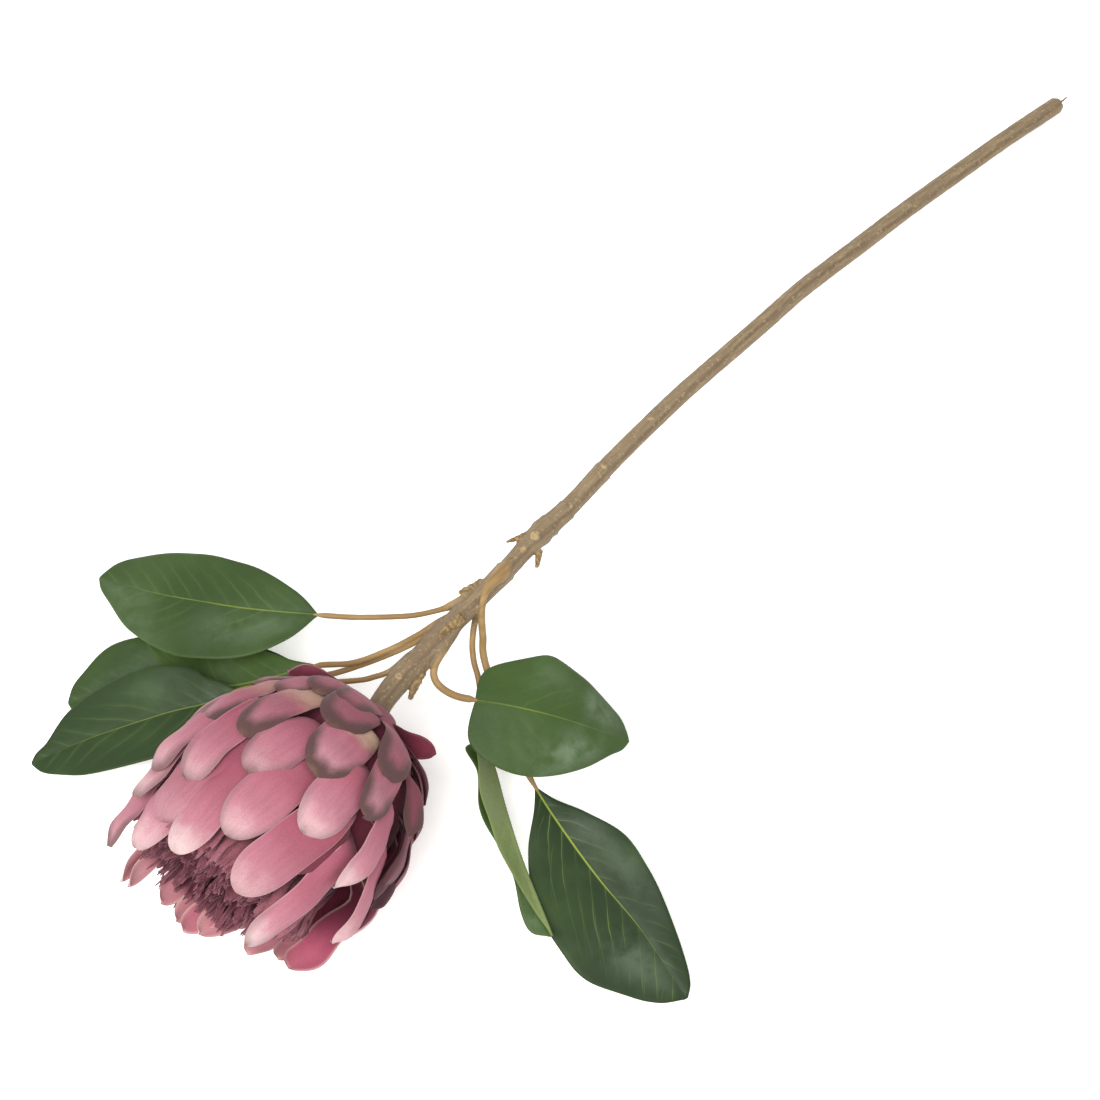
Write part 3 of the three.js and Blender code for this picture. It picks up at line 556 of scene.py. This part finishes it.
def floret_material():
    """Torn plum cloth, paler at the tips, with painted highlights on the edges, painted shade deep down.
    """
    m = Shade("floret_cloth")
    s, u, _ = m.numbers("place")
    tone, pale, _ = m.numbers("tint")
    grain = m.noise(900, 3)
    color = m.coats(
        m.blend(tone, "43161f", "78434d"),
        (pale, "935860", 0.85),
        # A lilac-grey band along the edges is a painted highlight
        (m.step(m.math("ABSOLUTE", u), 0.55, 1.0), "77545c", 0.4),
        (m.step(s, 0.8, 1.0), "79515b", 0.35),
        # Near black towards the foot of each strip, painted shade deep in the brush
        (m.step(s, 0.88, 0.3), "260a13"),
        (m.step(grain, 0.45, 0.7), "381c28", 0.35),
    )
    return m.finish(color, 0.8, Normal=m.bump(grain, 0.5, 0.0004), Specular_IOR_Level=0.12,
                    Sheen_Weight=0.12, Sheen_Tint=(0.9, 0.6, 0.66, 1))


def leaf_material():
    """Dark green top and light underside, with a thin midrib and faint, uneven side veins."""
    m = Shade("leaf_surface")
    s, u, face = m.numbers("place")
    forward, across, tone = m.numbers("vein")
    strong, painted_sheen, _ = m.numbers("rib")
    off = m.math("ABSOLUTE", across)
    reach = m.math("ABSOLUTE", u)
    wander = m.noise(28, 2)
    cloud = m.noise(22, 3)
    fine = m.noise(700, 3)
    bend = m.times(m.times(off, off), 0.016)
    start = m.plus(forward, m.times(wander, 12.0))
    start = m.plus(start, m.times(m.math("GREATER_THAN", across, 0.0), 6.0))

    def veins(slope, shift, width):
        """Side veins, each with a strength of its own, and how far each point is from one."""
        along_leaf = m.minus(m.minus(start, m.times(off, slope)), bend)
        count = m.math("DIVIDE", m.plus(along_leaf, shift), VEIN_PITCH)
        apart = m.times(m.math("ABSOLUTE", m.minus(m.math("FRACT", count), 0.5)), VEIN_GAP)
        draw = m.node("TexWhiteNoise", {"W": m.math("FLOOR", count)}, noise_dimensions="1D")
        strength = m.plus(0.35, draw.outputs["Value"])
        return m.times(m.step(apart, width, width * 0.25), strength), apart

    fade = m.times(m.step(reach, 0.95, 0.25), m.step(wander, 0.3, 0.55))
    main, apart = veins(1.25, 0.0, 0.36)
    fork, _ = veins(0.8, 4.0, 0.28)
    fork = m.times(fork, m.times(m.step(reach, 0.3, 0.5), 0.6))
    laterals = m.times(m.math("MAXIMUM", main, fork), fade)
    laterals = m.times(laterals, m.plus(0.18, m.times(strong, 0.5)), clamp=True)
    soft = m.times(m.step(apart, 2.4, 0.1), fade)
    width = m.times(m.step(s, 0.9, 0.0), m.plus(0.2, m.times(strong, 0.35)))
    middle = m.times(m.step(m.minus(off, width), 0.45, 0.0), m.step(s, 1.0, 0.5))
    middle = m.times(middle, m.step(wander, 0.15, 0.5))

    # Painted sheen: pale grey-green patches laid into the colour where the leaf would show a soft
    # reflection
    painted_sheen_mask = m.times(painted_sheen, m.step(m.noise(60, 4), 0.3, 0.65))
    top = m.coats(
        m.blend(tone, "3a4f22", "1f2e17"),
        (m.step(cloud, 0.42, 0.68), "41562a", 0.3),
        (m.step(cloud, 0.5, 0.3), "23321a", 0.25),
        (soft, "4a5e30", 0.12),
        # Lighter along the margin, a painted highlight where the edge catches the light
        (m.step(reach, 0.95, 1.0), "526339", 0.2),
        (painted_sheen_mask, "7b8b76", 0.36),
        (laterals, "5d713a"),
        (m.times(middle, m.plus(0.45, m.times(strong, 0.5))), "7c8a32"),
    )
    under = m.blend(m.step(cloud, 0.3, 0.7), "5f6c3f", "6d7a4b")
    under = m.coats(under, (laterals, "7f8859", 0.3), (middle, "8a744b", 0.8))

    color = m.blend(m.step(face, *OTHER_FACE), top, under)
    color = m.coats(color, (m.step(fine, 0.4, 0.7), "22331a", 0.12))
    lines = m.minus(m.times(fine, 0.12), m.plus(m.times(soft, 0.5), middle))
    normal = m.bump(lines, 0.35, 0.0004)
    normal = m.bump(cloud, 0.5, 0.004, Normal=normal)
    roughness = m.plus(0.42, m.times(fine, 0.16))
    return m.finish(color, roughness, Normal=normal, Specular_IOR_Level=0.17)


def stem_material():
    """Moulded bark, grey-brown with pale flecks, ochre buds and scars, and smooth tan petioles."""
    m = Shade("stem_bark")
    forward, around, tan = m.numbers("bark")
    bud, pale, depth = m.numbers("mark")
    fibre = m.noise(1.0, 4, m.vector(m.times(forward, 0.07), m.times(around, 0.6), tan))
    fleck = m.noise(520, 3)
    patch = m.noise(70, 3)
    grain = m.noise(1500, 2)

    bark = m.coats(
        m.blend(m.step(fibre, 0.3, 0.72), "6b5b46", "857357"),
        (m.step(patch, 0.4, 0.65), "75634c", 0.45),
        # Darker in the groove along the stem, painted shade, and darker near the cup and at the knot
        (depth, "54432f", 0.55),
        (m.step(fleck, 0.56, 0.7), "9c8c6c", 0.5),
        (m.step(grain, 0.55, 0.7), "4f412f", 0.3),
    )
    stalk = m.blend(m.step(fibre, 0.35, 0.7), "7d633d", "957a50")
    stalk = m.coats(stalk, (m.step(grain, 0.5, 0.7), "6b5230", 0.15))

    color = m.blend(tan, bark, stalk)
    color = m.coats(color, (m.times(pale, m.step(fleck, 0.3, 0.6)), "a18a60"))
    ochre = m.blend(m.step(fleck, 0.4, 0.62), "665236", "8c744c")
    color = m.blend(bud, color, ochre)
    height = m.plus(m.times(fibre, 0.5), m.times(grain, 0.4))
    height = m.plus(height, m.times(fleck, m.plus(0.3, bud)))
    return m.finish(color, 0.6, Normal=m.bump(height, 0.5, 0.0005), Specular_IOR_Level=0.3)


# The flower head's own frame

YAW, RISE = math.radians(HEAD_YAW), math.radians(HEAD_RISE)
AXIS = np.array((-math.cos(YAW) * math.cos(RISE), -math.sin(YAW) * math.cos(RISE), math.sin(RISE)))
ACROSS = unit(np.array((0, 0, 1)) - AXIS * AXIS[2])
SIDE = np.cross(AXIS, ACROSS)


def head_point(height, radius, azimuth):
    """Places from the height along the head's axis, the radius and the azimuth, where 0 is up."""
    height, radius, azimuth = (np.asarray(v, float)[..., None] for v in (height, radius, azimuth))
    return HEAD_BASE + AXIS * height + (ACROSS * np.cos(azimuth) + SIDE * np.sin(azimuth)) * radius


def walk_outline(steps=400):
    x = np.linspace(0, len(HEAD_OUTLINE) - 1, steps)
    height, radius = (along(list(enumerate(row)), x) for row in zip(*HEAD_OUTLINE))
    length = np.concatenate(([0], np.cumsum(np.hypot(np.diff(height), np.diff(radius)))))
    return length, height, radius


WALK_LENGTH, WALK_HEIGHT, WALK_RADIUS = walk_outline()


def outline_point(length):
    return np.interp(length, WALK_LENGTH, WALK_HEIGHT), np.interp(length, WALK_LENGTH, WALK_RADIUS)


def outline_at(length):
    """Height and radius of the outline at a length along it, and the outward direction there."""
    step = 0.5
    height, radius = outline_point(length)
    high, wide = outline_point(length + step)
    low, narrow = outline_point(length - step)
    rise, grow = high - low, wide - narrow
    slope = np.hypot(rise, grow)
    return height, radius, -grow / slope, rise / slope


def add_turned(skin, outline, sides, spread, **numbers):
    """A body turned about the head's axis. spread scales its radius at each azimuth."""
    heights, radii = np.array(outline).T[..., None]
    turn = np.linspace(0, 2 * math.pi, sides, endpoint=False)
    points = head_point(heights, radii * spread(turn), turn)
    skin.add(points, grid_faces(len(outline), sides, wrap=True), **numbers)


def depth_of(number, length, azimuth, tips):
    """How far the rings outside this one push a bract inward, up to just beyond their own tips."""
    reach = 13
    depth = 0
    for places, lengths in tips[:number]:
        apart = (places - azimuth + 180) % 360 - 180
        weight = np.exp(-(apart / reach) ** 2) + 1e-9
        tip = (weight * lengths).sum() / weight.sum()
        depth = depth + RING_PITCH * smooth((tip - length) / RING_FADE + 1)
    return depth


# Bracts

BRACT_ROWS, BRACT_ACROSS = 30, 17
# Rows stand closer towards the tip, and columns towards the margins
BRACT_ROW_POWER = 1.8
BRACT_COLUMN_TURN = math.pi / 2 * 0.9
BRACT_SEED = 7
HIDDEN_SEED = 20417
PLAIN = dict(sweep=0, flare=0, inset=0, twist=0, point=0, roll=0, pale=0, brown=0, cream=0, dark_paint_and_shade=0)


def tip_length(number, azimuth, tip):
    amount, toward = MOUTH_SLANT
    slant = amount * RINGS[number]["slant"] * math.cos(math.radians(azimuth - toward))
    return np.interp(tip + slant, WALK_HEIGHT, WALK_LENGTH)


def bract_sheet(number, azimuth, tip, half, look, tips, rng):
    """The middle surface of a bract: points, shares along and across, and how far margin and tip are."""
    ring = RINGS[number]
    end = tip_length(number, azimuth, tip)
    t = np.linspace(0, 1, BRACT_ROWS)
    s = (1 - (1 - t) ** BRACT_ROW_POWER)[:, None]
    edge_turn = np.linspace(-1, 1, BRACT_ACROSS) * BRACT_COLUMN_TURN
    u = (np.sin(edge_turn) / math.sin(BRACT_COLUMN_TURN))[None]
    length = mix(ring["root"], end, s)
    from_tip = end - length

    # A narrow foot, a shoulder and a rounded or pointed tip
    round_off = (ring["tip_round"] + 0.7 * look["point"]) * half
    near = np.clip((round_off - from_tip) / round_off, 0, 1)
    rounding = (1 - near**2) ** (0.5 + 0.4 * look["point"])
    width = half * np.maximum(rounding, 0.06) * mix(BRACT_FOOT, 1, smooth(s / BRACT_SHOULDER))
    wave = rng.uniform(0, 6.28, 4)
    lean = rng.uniform(-1, 1)
    width = width * (1 + 0.025 * np.sin(s * 11 + wave[0] + u))
    sideways = u * width + lean * 1.2 * s * s

    # How far it stands off the outline: flared, sunk, under the rings outside it, inset, cupped, tilted
    # and waved, with its tip curled in and one margin rolled up
    out = look["flare"] * smooth((s - 0.3) / 0.7) ** 1.5 - ring["sink"] * (1 - smooth(s / 0.3))
    out = out - depth_of(number, length, azimuth, tips) - look["inset"] * smooth(s / 0.4)
    out = out - 0.1 * half * u * u + 1.1 * u * smooth(s / 0.5)
    out = out + 0.5 * np.sin(s * 7 + wave[1]) * u * u + 0.3 * np.sin(u * 4 + wave[2] + s * 3) * s
    out = out - 1.4 * smooth((s - 0.84) / 0.16) * (look["flare"] < 3)
    out = out + look["roll"] * 1.6 * smooth((np.abs(u) - 0.75) / 0.25) * (u > 0)

    height, radius, out_height, out_radius = outline_at(length)
    angle = math.radians(azimuth) + math.radians(look["sweep"]) * (1 - s) ** 1.2
    amount, toward = FLAT_SIDE
    flat = amount * np.maximum(np.cos(angle - math.radians(toward)), 0) ** 2
    radius = np.maximum(radius + out_radius * out - flat * smooth(length / FLAT_START), 3)
    twist = math.radians(look["twist"]) * s
    turn = angle + sideways * np.cos(twist) / radius
    lift = sideways * np.sin(twist)
    points = head_point(height + out_height * (out + lift), radius + out_radius * lift, turn)
    edge = np.minimum((1 - np.abs(u)) * width, from_tip * 0.8 + 0.2)
    return points, s, u, edge, from_tip


def add_bract(skin, number, azimuth, tip, half, look, tips, rng):
    look = {**PLAIN, **RINGS[number]["tint"], **look}
    points, s, u, edge, from_tip = bract_sheet(number, azimuth, tip, half, look, tips, rng)
    halves = 0.14 + 0.28 * smooth(edge / 2.2)
    axis_point = HEAD_BASE + AXIS * np.sum((points - HEAD_BASE) * AXIS, -1, keepdims=True)
    dark_paint_and_shade = np.clip(look["dark_paint_and_shade"] + rng.uniform(-0.04, 0.08), 0, 1.5)
    add_blade(
        skin, s, u, points, halves, unit(points - axis_point),
        tint=(look["pale"], look["brown"], look["cream"]),
        reach=triples(edge, from_tip, dark_paint_and_shade),
    )


def all_bracts():
    """The bracts that the photo shows, then the hidden ones of each ring."""
    bracts = list(SEEN)
    draws = Draws(HIDDEN_SEED)
    for number, ring in enumerate(RINGS):
        start, stop, count = ring["hidden"]
        for k in range(count):
            azimuth = mix(start, stop, k / max(count - 1, 1)) + draws.jitter(3)
            tip = ring["tip"] + draws.jitter(4)
            bracts.append((number, azimuth, tip, ring["half"] + draws.jitter(0.8), {}))
    return bracts


def make_bracts():
    skin = Skin()
    rng = np.random.RandomState(BRACT_SEED)
    bracts = all_bracts()
    tips = []
    for number in range(len(RINGS)):
        same_ring = [bract for bract in bracts if bract[0] == number]
        ends = [(azimuth, tip_length(number, azimuth, tip)) for _, azimuth, tip, _, _ in same_ring]
        tips.append(np.array(ends).T)
    for bract in bracts:
        add_bract(skin, *bract, tips, rng)
    # The cup inside the head is dark maroon, painted shade where it shows through gaps between the bracts
    looks = dict(place=(0.5, 0, 0), tint=(0, 0, 0), reach=(9, 60, 0.7))
    add_turned(skin, CUP_OUTLINE, CUP_SIDES, np.ones_like, **looks)
    return skin.piece("bract_rings", bract_material())


# Florets

# Torn strips that stand in the mouth: radius, count, from, tip, half width, how pale
FLORET_RINGS = [
    (51.5, 56, 66, 116, 3.2, 1.0), (49, 58, 76, 116, 2.6, 0.8), (46, 56, 84, 114, 2.2, 0.5),
    (42.5, 54, 88, 113, 2, 0.3), (39, 50, 90, 111, 2, 0.2), (35.5, 46, 90, 109, 2, 0.15),
    (32, 42, 90, 108, 2, 0.15), (28, 38, 90, 107, 2, 0.15), (24, 32, 90, 106, 2, 0.15),
    (20, 27, 90, 106, 2, 0.15), (16, 21, 90, 105, 2, 0.15), (12, 16, 90, 105, 2, 0.15),
    (8, 10, 90, 105, 2, 0.15), (4, 5, 90, 105, 2, 0.15),
]
FLORET_CORE = [(70.4, 0.1), (70.4, 36), (78, 44), (90, 46), (98, 40), (98, 0.1)]
FLORET_CORE_SIDES = 40
FLORET_ROWS, FLORET_ACROSS = 12, 7
FLORET_HALF_THICK = 0.28
FLORET_SEED = 31
# Azimuths: where the brush shows to the camera, where it stays low, and where it leans out
NEAR_SIDE = math.radians(-13)
LOW_SIDE = math.radians(-118)
LEFT_SIDE = math.radians(152)


def add_floret(skin, azimuth, radius, start, tip, half, pale, rng):
    """A crinkled strip, folded along its length, with a ragged end."""
    s = np.linspace(0, 1, FLORET_ROWS)[:, None]
    u = np.linspace(-1, 1, FLORET_ACROSS)[None]
    teeth = rng.uniform(-1, 1, FLORET_ACROSS)[None] * (0.6 + 0.6 * half)
    height = mix(start, tip, s) + teeth * smooth((s - 0.7) / 0.3)
    lean, curl, fold = rng.uniform(-5, 5), rng.uniform(-4, 2), rng.uniform(0.3, 1.0)
    twist = rng.uniform(-1.2, 1.2)
    phase = rng.uniform(0, 6.28, 3)
    width = half * (1 + 0.2 * np.sin(s * 13 + phase[0])) * mix(1, 0.7, smooth((s - 0.75) / 0.25))
    crinkle = 0.45 * np.sin(s * 30 + phase[1] + u * 1.5) * s + 0.9 * np.sin(s * 9 + phase[2])
    rise = crinkle + fold * half * 0.6 * (1 - u * u)
    inward = np.cos(twist * s) * rise + u * width * np.sin(twist * s)
    sideways = np.cos(twist * s) * u * width - np.sin(twist * s) * rise
    r = np.maximum(radius * mix(0.9, 1.0, s) + curl * s**3 + inward, 0.5)
    turn = azimuth + (lean * s**2 + sideways) / np.maximum(r, 4)
    points = head_point(height, r, turn)
    outside = head_point(0, 1, turn) - HEAD_BASE
    tone = rng.uniform(0, 1)
    pale = np.clip(pale + rng.uniform(-0.2, 0.2), 0, 1)
    halves = np.full(r.shape, FLORET_HALF_THICK)
    add_blade(skin, s, u, points, halves, outside, tint=(tone, pale, 0))


def mouth_sides(azimuth):
    """How much an azimuth belongs to the mouth's left side, and how much to its low side."""
    left = np.maximum(np.cos(azimuth - LEFT_SIDE), 0) ** 6
    low = smooth((np.cos(azimuth - LOW_SIDE) - 0.55) / 0.3)
    return left, low


def brush_spread(azimuth):
    """How far the brush reaches out at an azimuth, as a share of its radius."""
    left, low = mouth_sides(azimuth)
    return 1 + 0.2 * left - 0.18 * low


def make_florets():
    skin = Skin()
    rng = np.random.RandomState(FLORET_SEED)
    for radius, count, start, tip, half, pale in FLORET_RINGS:
        for k in range(count):
            azimuth = (k + rng.uniform(-0.4, 0.4)) / count * 2 * math.pi
            near = 0.5 + 0.5 * math.cos(azimuth - NEAR_SIDE)
            left, low = mouth_sides(azimuth)
            end = tip + (2 * near + 1) * radius / 50 + rng.uniform(-4, 4)
            end += 4 * left - 11 * low * smooth(radius / 50)
            away = radius * brush_spread(azimuth) + rng.uniform(-1.6, 1.6)
            wide = half * rng.uniform(0.6, 1.25)
            add_floret(skin, azimuth, away, start, end, wide, pale * mix(0.5, 1, near), rng)
    # The core in the middle of the brush is near black, painted shade deep in the mouth
    add_turned(skin, FLORET_CORE, FLORET_CORE_SIDES, brush_spread, place=(0, 0, 0), tint=(0, 0, 0))
    return skin.piece("floret_brush", floret_material())


# Leaves

LEAF_ROWS, LEAF_ACROSS = 70, 41
# The midrib starts this far from the petiole's last point
SEAT_GAP = 0.3


def make_leaf(name, plan, material):
    points = np.array(plan["path"], float)
    base, last = plan["base"], len(points) - 1
    t = np.linspace(0, 1, LEAF_ROWS)
    s = mix(0.5 - 0.5 * np.cos(t * math.pi), t, 0.5)
    first = base + SEAT_GAP / np.linalg.norm(points[base + 1] - points[base])
    centre, tangent, right, up = (v[:, None] for v in path_at(points, mix(first, last, s)))
    s = s[:, None]
    u = np.linspace(-1, 1, LEAF_ACROSS)[None]
    left = u < 0

    def by_half(places, halves):
        return np.where(left, *(along(list(zip(places, half)), s) for half in halves))

    # The margins, and the direction in which each half leaves the midrib
    margin = by_half(STATIONS, (plan["left"], plan["right"]))
    off = np.abs(u) * margin
    lift = np.radians(by_half((0, 0.2, 1), plan["lift"]))
    lift = (lift * mix(0.75, 1, smooth(np.abs(u) / 0.12)))[..., None]
    out = right * np.where(left, -1, 1)[..., None]
    direction = out * np.cos(lift) + up * np.sin(lift)
    normal = up * np.cos(lift) - out * np.sin(lift)

    # Waves of the margin, quilting between the side veins and the groove of the midrib
    bulge = 4 * s * (1 - s)
    turn = 2 * math.pi * plan["waves"] * s + plan["phase"] + np.where(left, 2, 0)
    ripple = plan["wave"] * u * u * np.sin(turn) * bulge
    quilt = 0.3 * np.sin((s * 9 - np.abs(u) * 1.6) * 2 * math.pi) * np.abs(u) * (1 - np.abs(u)) * bulge
    groove = 0.5 * np.exp(-((off / 1.6) ** 2))
    height = ripple + quilt - groove - 0.05 * off * np.abs(u)
    back = plan["back"] * off * (1 - smooth(s / 0.35))
    surface = centre + direction * off[..., None] + normal * height[..., None] - tangent * back[..., None]
    length = np.linalg.norm(np.diff(points[base:], axis=0), axis=1).sum()
    halves = 0.12 + 0.3 * smooth((margin - off) / 1.5) + 0.45 * np.exp(-((off / 1.1) ** 2)) * (1 - 0.6 * s)
    # Spots of painted sheen, carried to the leaf material
    painted_sheen_spots = [power * np.exp(-(((s - place) / 0.13) ** 2) - ((u - across) / 0.35) ** 2)
             for place, across, power in plan["painted_sheen"]]
    skin = Skin()
    add_blade(
        skin, s, u, surface, halves, normal,
        vein=triples(s * length, np.sign(u) * off, plan["tone"]),
        rib=triples(np.where(left, *plan["ribs"]), sum(painted_sheen_spots), 0.0),
    )
    thing = skin.piece(name + "_blade", material)
    stand_for(thing, name)


# Stem

# Rings along each tube and sides round it
STEM_GRID = (320, 40)
WIRE_GRID = (8, 10)
PETIOLE_GRID = (70, 16)
BUD_GRID = (40, 14)
# How far a petiole runs on into its leaf, in points of its path
PETIOLE_SINK = 0.08
# The cells that the stem is remeshed with, in metres
STEM_CELL = 0.00062
LINE_STEPS = 700
# The seam along the stem, and the knot's place along x
GROOVE_ANGLE = math.radians(122)
KNOT_PLACE = -1


def add_tube(skin, points, start, stop, grid, radius_at):
    """A closed tube along a path, between two places that count its points."""
    steps, sides = grid
    centre, _, right, up = (v[:, None] for v in path_at(points, np.linspace(start, stop, steps)))
    radius = radius_at(np.linspace(0, 1, steps))[:, None, None]
    turn = ((np.arange(sides) + 0.5) / sides * 2 * math.pi)[:, None]
    rings = centre + right * np.cos(turn) * radius + up * np.sin(turn) * radius
    rings[0] = mix(rings[0], centre[0], 0.35)
    skin.add(rings, grid_faces(steps, sides, wrap=True))
    first, last = skin.count - steps * sides, skin.count
    skin.faces += [list(range(first, first + sides)), list(range(last - sides, last))[::-1]]


def remeshed(thing, voxel):
    """Joins the closed tubes of a piece in one even mesh."""
    made = thing.modifiers.new("join", "REMESH")
    made.mode = "VOXEL"
    made.voxel_size = voxel
    graph = bpy.context.evaluated_depsgraph_get()
    mesh = bpy.data.meshes.new_from_object(thing.evaluated_get(graph))
    thing.modifiers.clear()
    old, thing.data = thing.data, mesh
    bpy.data.meshes.remove(old)
    return mesh


def nearest(samples, points):
    """The index of the nearest sample to each point."""
    batch = 4000
    parts = [points[start:start + batch, None] for start in range(0, len(points), batch)]
    return np.concatenate([((part - samples) ** 2).sum(-1).argmin(1) for part in parts])


def add_bud(skin, start, stop, thick, thin):
    """A stub of overlapping scales: each scale is a short collar."""
    def scaly(s):
        return mix(thick, thin, s**1.5) * (1.12 - 0.3 * (s * 4.5 % 1))

    add_tube(skin, [start, stop], 0, 1, BUD_GRID, scaly)


def add_petiole(skin, plan):
    """Thick where it leaves the stem, then even, and tapered where it ends in the leaf."""
    thick, thin = plan["stalk"]

    def tapered(s):
        return mix(thick, thin, smooth(s / 0.4)) * (1 - 0.5 * smooth((s - 0.95) / 0.05))

    add_tube(skin, plan["path"], 0, plan["base"] + PETIOLE_SINK, PETIOLE_GRID, tapered)


def near_segment(points, start, stop):
    start, stop = np.array(start, float), np.array(stop, float)
    along_it = np.clip((points - start) @ (stop - start) / ((stop - start) ** 2).sum(), 0, 1)
    return np.linalg.norm(points - start - along_it[:, None] * (stop - start), axis=1)


def bark_relief(points, angle, radius):
    """How far the bark stands out, with a groove along the stem, steps and lumps, and how dark it is:
    painted shade in the groove, and darker bark near the cup and at the knot.
    """
    x = points[:, 0]
    rough = ripples(points, 6, 2)
    wander = GROOVE_ANGLE + 0.25 * np.sin(x / 40)
    groove = np.exp(-(((angle - wander) * radius / 1.4) ** 2)) * (0.75 + 0.5 * rough)
    height = rough * 0.14 + ripples(points, 2, 3) * 0.08 - 0.6 * groove
    for place, rise in STEPS:
        passed = place - x + 1.2 * np.sin(angle * 2 + place)
        height = height + rise * smooth(passed / 1.2 + 0.5) * np.exp(-np.maximum(passed, 0) / 9)
    knot = np.exp(-(((x - KNOT_PLACE) / 8) ** 2))
    height = height + knot * (0.4 + 0.9 * ripples(points, 4, 5))
    near_cup = smooth((-50 - x) / 30)
    return height, np.clip(smooth(groove * 1.2) + 0.5 * near_cup + 0.25 * knot, 0, 1)


def scar_marks(points):
    """The rings round the leaf scars, and how pale each point is for them."""
    height, pale = np.zeros(len(points)), np.zeros(len(points))
    for place, size in SCARS:
        gap = np.linalg.norm(points - place, axis=1) / size + 0.15 * ripples(points, 1.5, 6)
        height += size * (0.22 * np.exp(-(((gap - 1.4) / 0.25) ** 2)) + 0.2 * np.exp(-((gap / 0.6) ** 2)))
        pale = np.maximum(pale, smooth((1.25 - gap) / 0.5) * 0.9)
    return height, pale


def read_vectors(mesh, name):
    flat = np.empty(len(mesh.vertices) * 3)
    mesh.vertices.foreach_get(name, flat)
    return flat.reshape(-1, 3)


def make_stem():
    skin = Skin()
    centre = np.array([p[:3] for p in STEM_POINTS], float)
    last = len(centre) - 1
    radii = [(i / last, p[3]) for i, p in enumerate(STEM_POINTS)]
    add_tube(skin, centre, 0, last, STEM_GRID, lambda s: along(radii, s))
    add_tube(skin, WIRE, 0, 1, WIRE_GRID, lambda s: np.full(s.shape, WIRE_RADIUS))
    for plan in LEAVES.values():
        add_petiole(skin, plan)
    for bud in BUDS:
        add_bud(skin, *bud)
    thing = skin.piece("stem_wood", stem_material())
    mesh = remeshed(thing, STEM_CELL)
    points = read_vectors(mesh, "co") / MM + ORIGIN
    normals = read_vectors(mesh, "normal")

    # Where each point lies along the main stem, and how far it stands off it
    x = np.linspace(0, last, LINE_STEPS)
    line, _, right, up = path_at(centre, x)
    index = nearest(line, points)
    run = np.concatenate(([0], np.cumsum(np.linalg.norm(np.diff(line, axis=0), axis=1))))
    off = points - line[index]
    away = np.linalg.norm(off, axis=1)
    angle = np.arctan2((off * up[index]).sum(1), (off * right[index]).sum(1))
    radius = along(radii, x[index] / last)
    tan = smooth((away - radius - 0.6) / 2.5)

    # Bark and scars on the main stem alone, and rough scales on the buds
    relief, dark = bark_relief(points, angle, radius)
    rings, pale = scar_marks(points)
    height = (relief + rings) * (1 - tan) + ripples(points, 5, 4) * 0.06 * tan
    bud = np.zeros(len(points))
    for start, stop, thick, _ in BUDS:
        beside = smooth((thick + 0.8 - near_segment(points, start, stop)) / 1.2)
        bud = np.maximum(bud, beside * smooth((away - radius + 0.6) / 1.2))
    height = height + bud * 0.35 * ripples(points, 1.6, 7)
    points = points + normals * height[:, None]
    mesh.vertices.foreach_set("co", ((points - ORIGIN) * MM).ravel())
    mesh.update()

    # The cut end has the buds' colour
    bud = np.maximum(bud, smooth((points[:, 0] - STEM_POINTS[0][0] - 0.5) / 0.5))
    write_numbers(mesh, "bark", np.stack((run[index], angle * radius, tan), 1))
    write_numbers(mesh, "mark", np.stack((bud, pale * (1 - tan), dark * (1 - tan)), 1))
    mesh.shade_smooth()
    return thing


# Stage

# Sizes and distances of the stage are in metres
FLOOR_HALF = 6.0
FLOOR_DROP = 0.0004
STUDIO_STRENGTH = 0.95
KEY_DIRECTION = (-0.5, -0.06, 1.0)
KEY_DISTANCE = 1.8
KEY_SIZE = 1.2
KEY_POWER = 36
FAR_END = 20


def make_floor():
    mesh = bpy.data.meshes.new("floor")
    turns = ((-1, -1), (1, -1), (1, 1), (-1, 1))
    corners = [(x * FLOOR_HALF, y * FLOOR_HALF, -FLOOR_DROP) for x, y in turns]
    mesh.from_pydata(corners, [], [(0, 1, 2, 3)])
    # The floor glows faintly, painted light that evens out the shadows cast on it
    pale = Shade("floor").finish("f7f7f6", 0.9, Specular_IOR_Level=0.1, Emission_Strength=0.25)
    mesh.materials.append(pale)
    floor = add_object("floor", mesh)


def make_key_light():
    data = bpy.data.lights.new("key", "AREA")
    data.shape = "DISK"
    data.size = KEY_SIZE
    data.energy = KEY_POWER
    light = add_object("key", data)
    light.location = Vector(KEY_DIRECTION).normalized() * KEY_DISTANCE
    light.rotation_euler = (-light.location).to_track_quat("-Z", "Y").to_euler()


def make_stage():
    make_floor()
    world = bpy.data.worlds.new("studio")
    bpy.context.scene.world = world
    world.use_nodes = True
    background = world.node_tree.nodes["Background"]
    background.inputs["Color"].default_value = (1, 1, 1, 1)
    background.inputs["Strength"].default_value = STUDIO_STRENGTH
    make_key_light()
    bpy.context.scene.view_settings.view_transform = "Standard"


def make_camera():
    azimuth, elevation = math.radians(CAMERA_AZIMUTH), math.radians(CAMERA_ELEVATION)
    level = math.cos(elevation)
    back = np.array((math.sin(azimuth) * level, -math.cos(azimuth) * level, math.sin(elevation)))
    data = bpy.data.cameras.new("camera")
    data.lens = LENS
    data.sensor_width = SENSOR
    data.clip_end = FAR_END
    camera = add_object("camera", data)
    camera.location = (np.array(AIM) + back * CAMERA_DISTANCE - ORIGIN) * MM
    camera.rotation_euler = Vector(back).to_track_quat("Z", "Y").to_euler()
    bpy.context.scene.camera = camera


make_camera()
make_stage()
stand_for(make_bracts(), "bracts")
stand_for(make_florets(), "florets")
stand_for(make_stem(), "stem")
leaf_surface = leaf_material()
for leaf_name, leaf_plan in LEAVES.items():
    make_leaf(leaf_name, leaf_plan, leaf_surface)
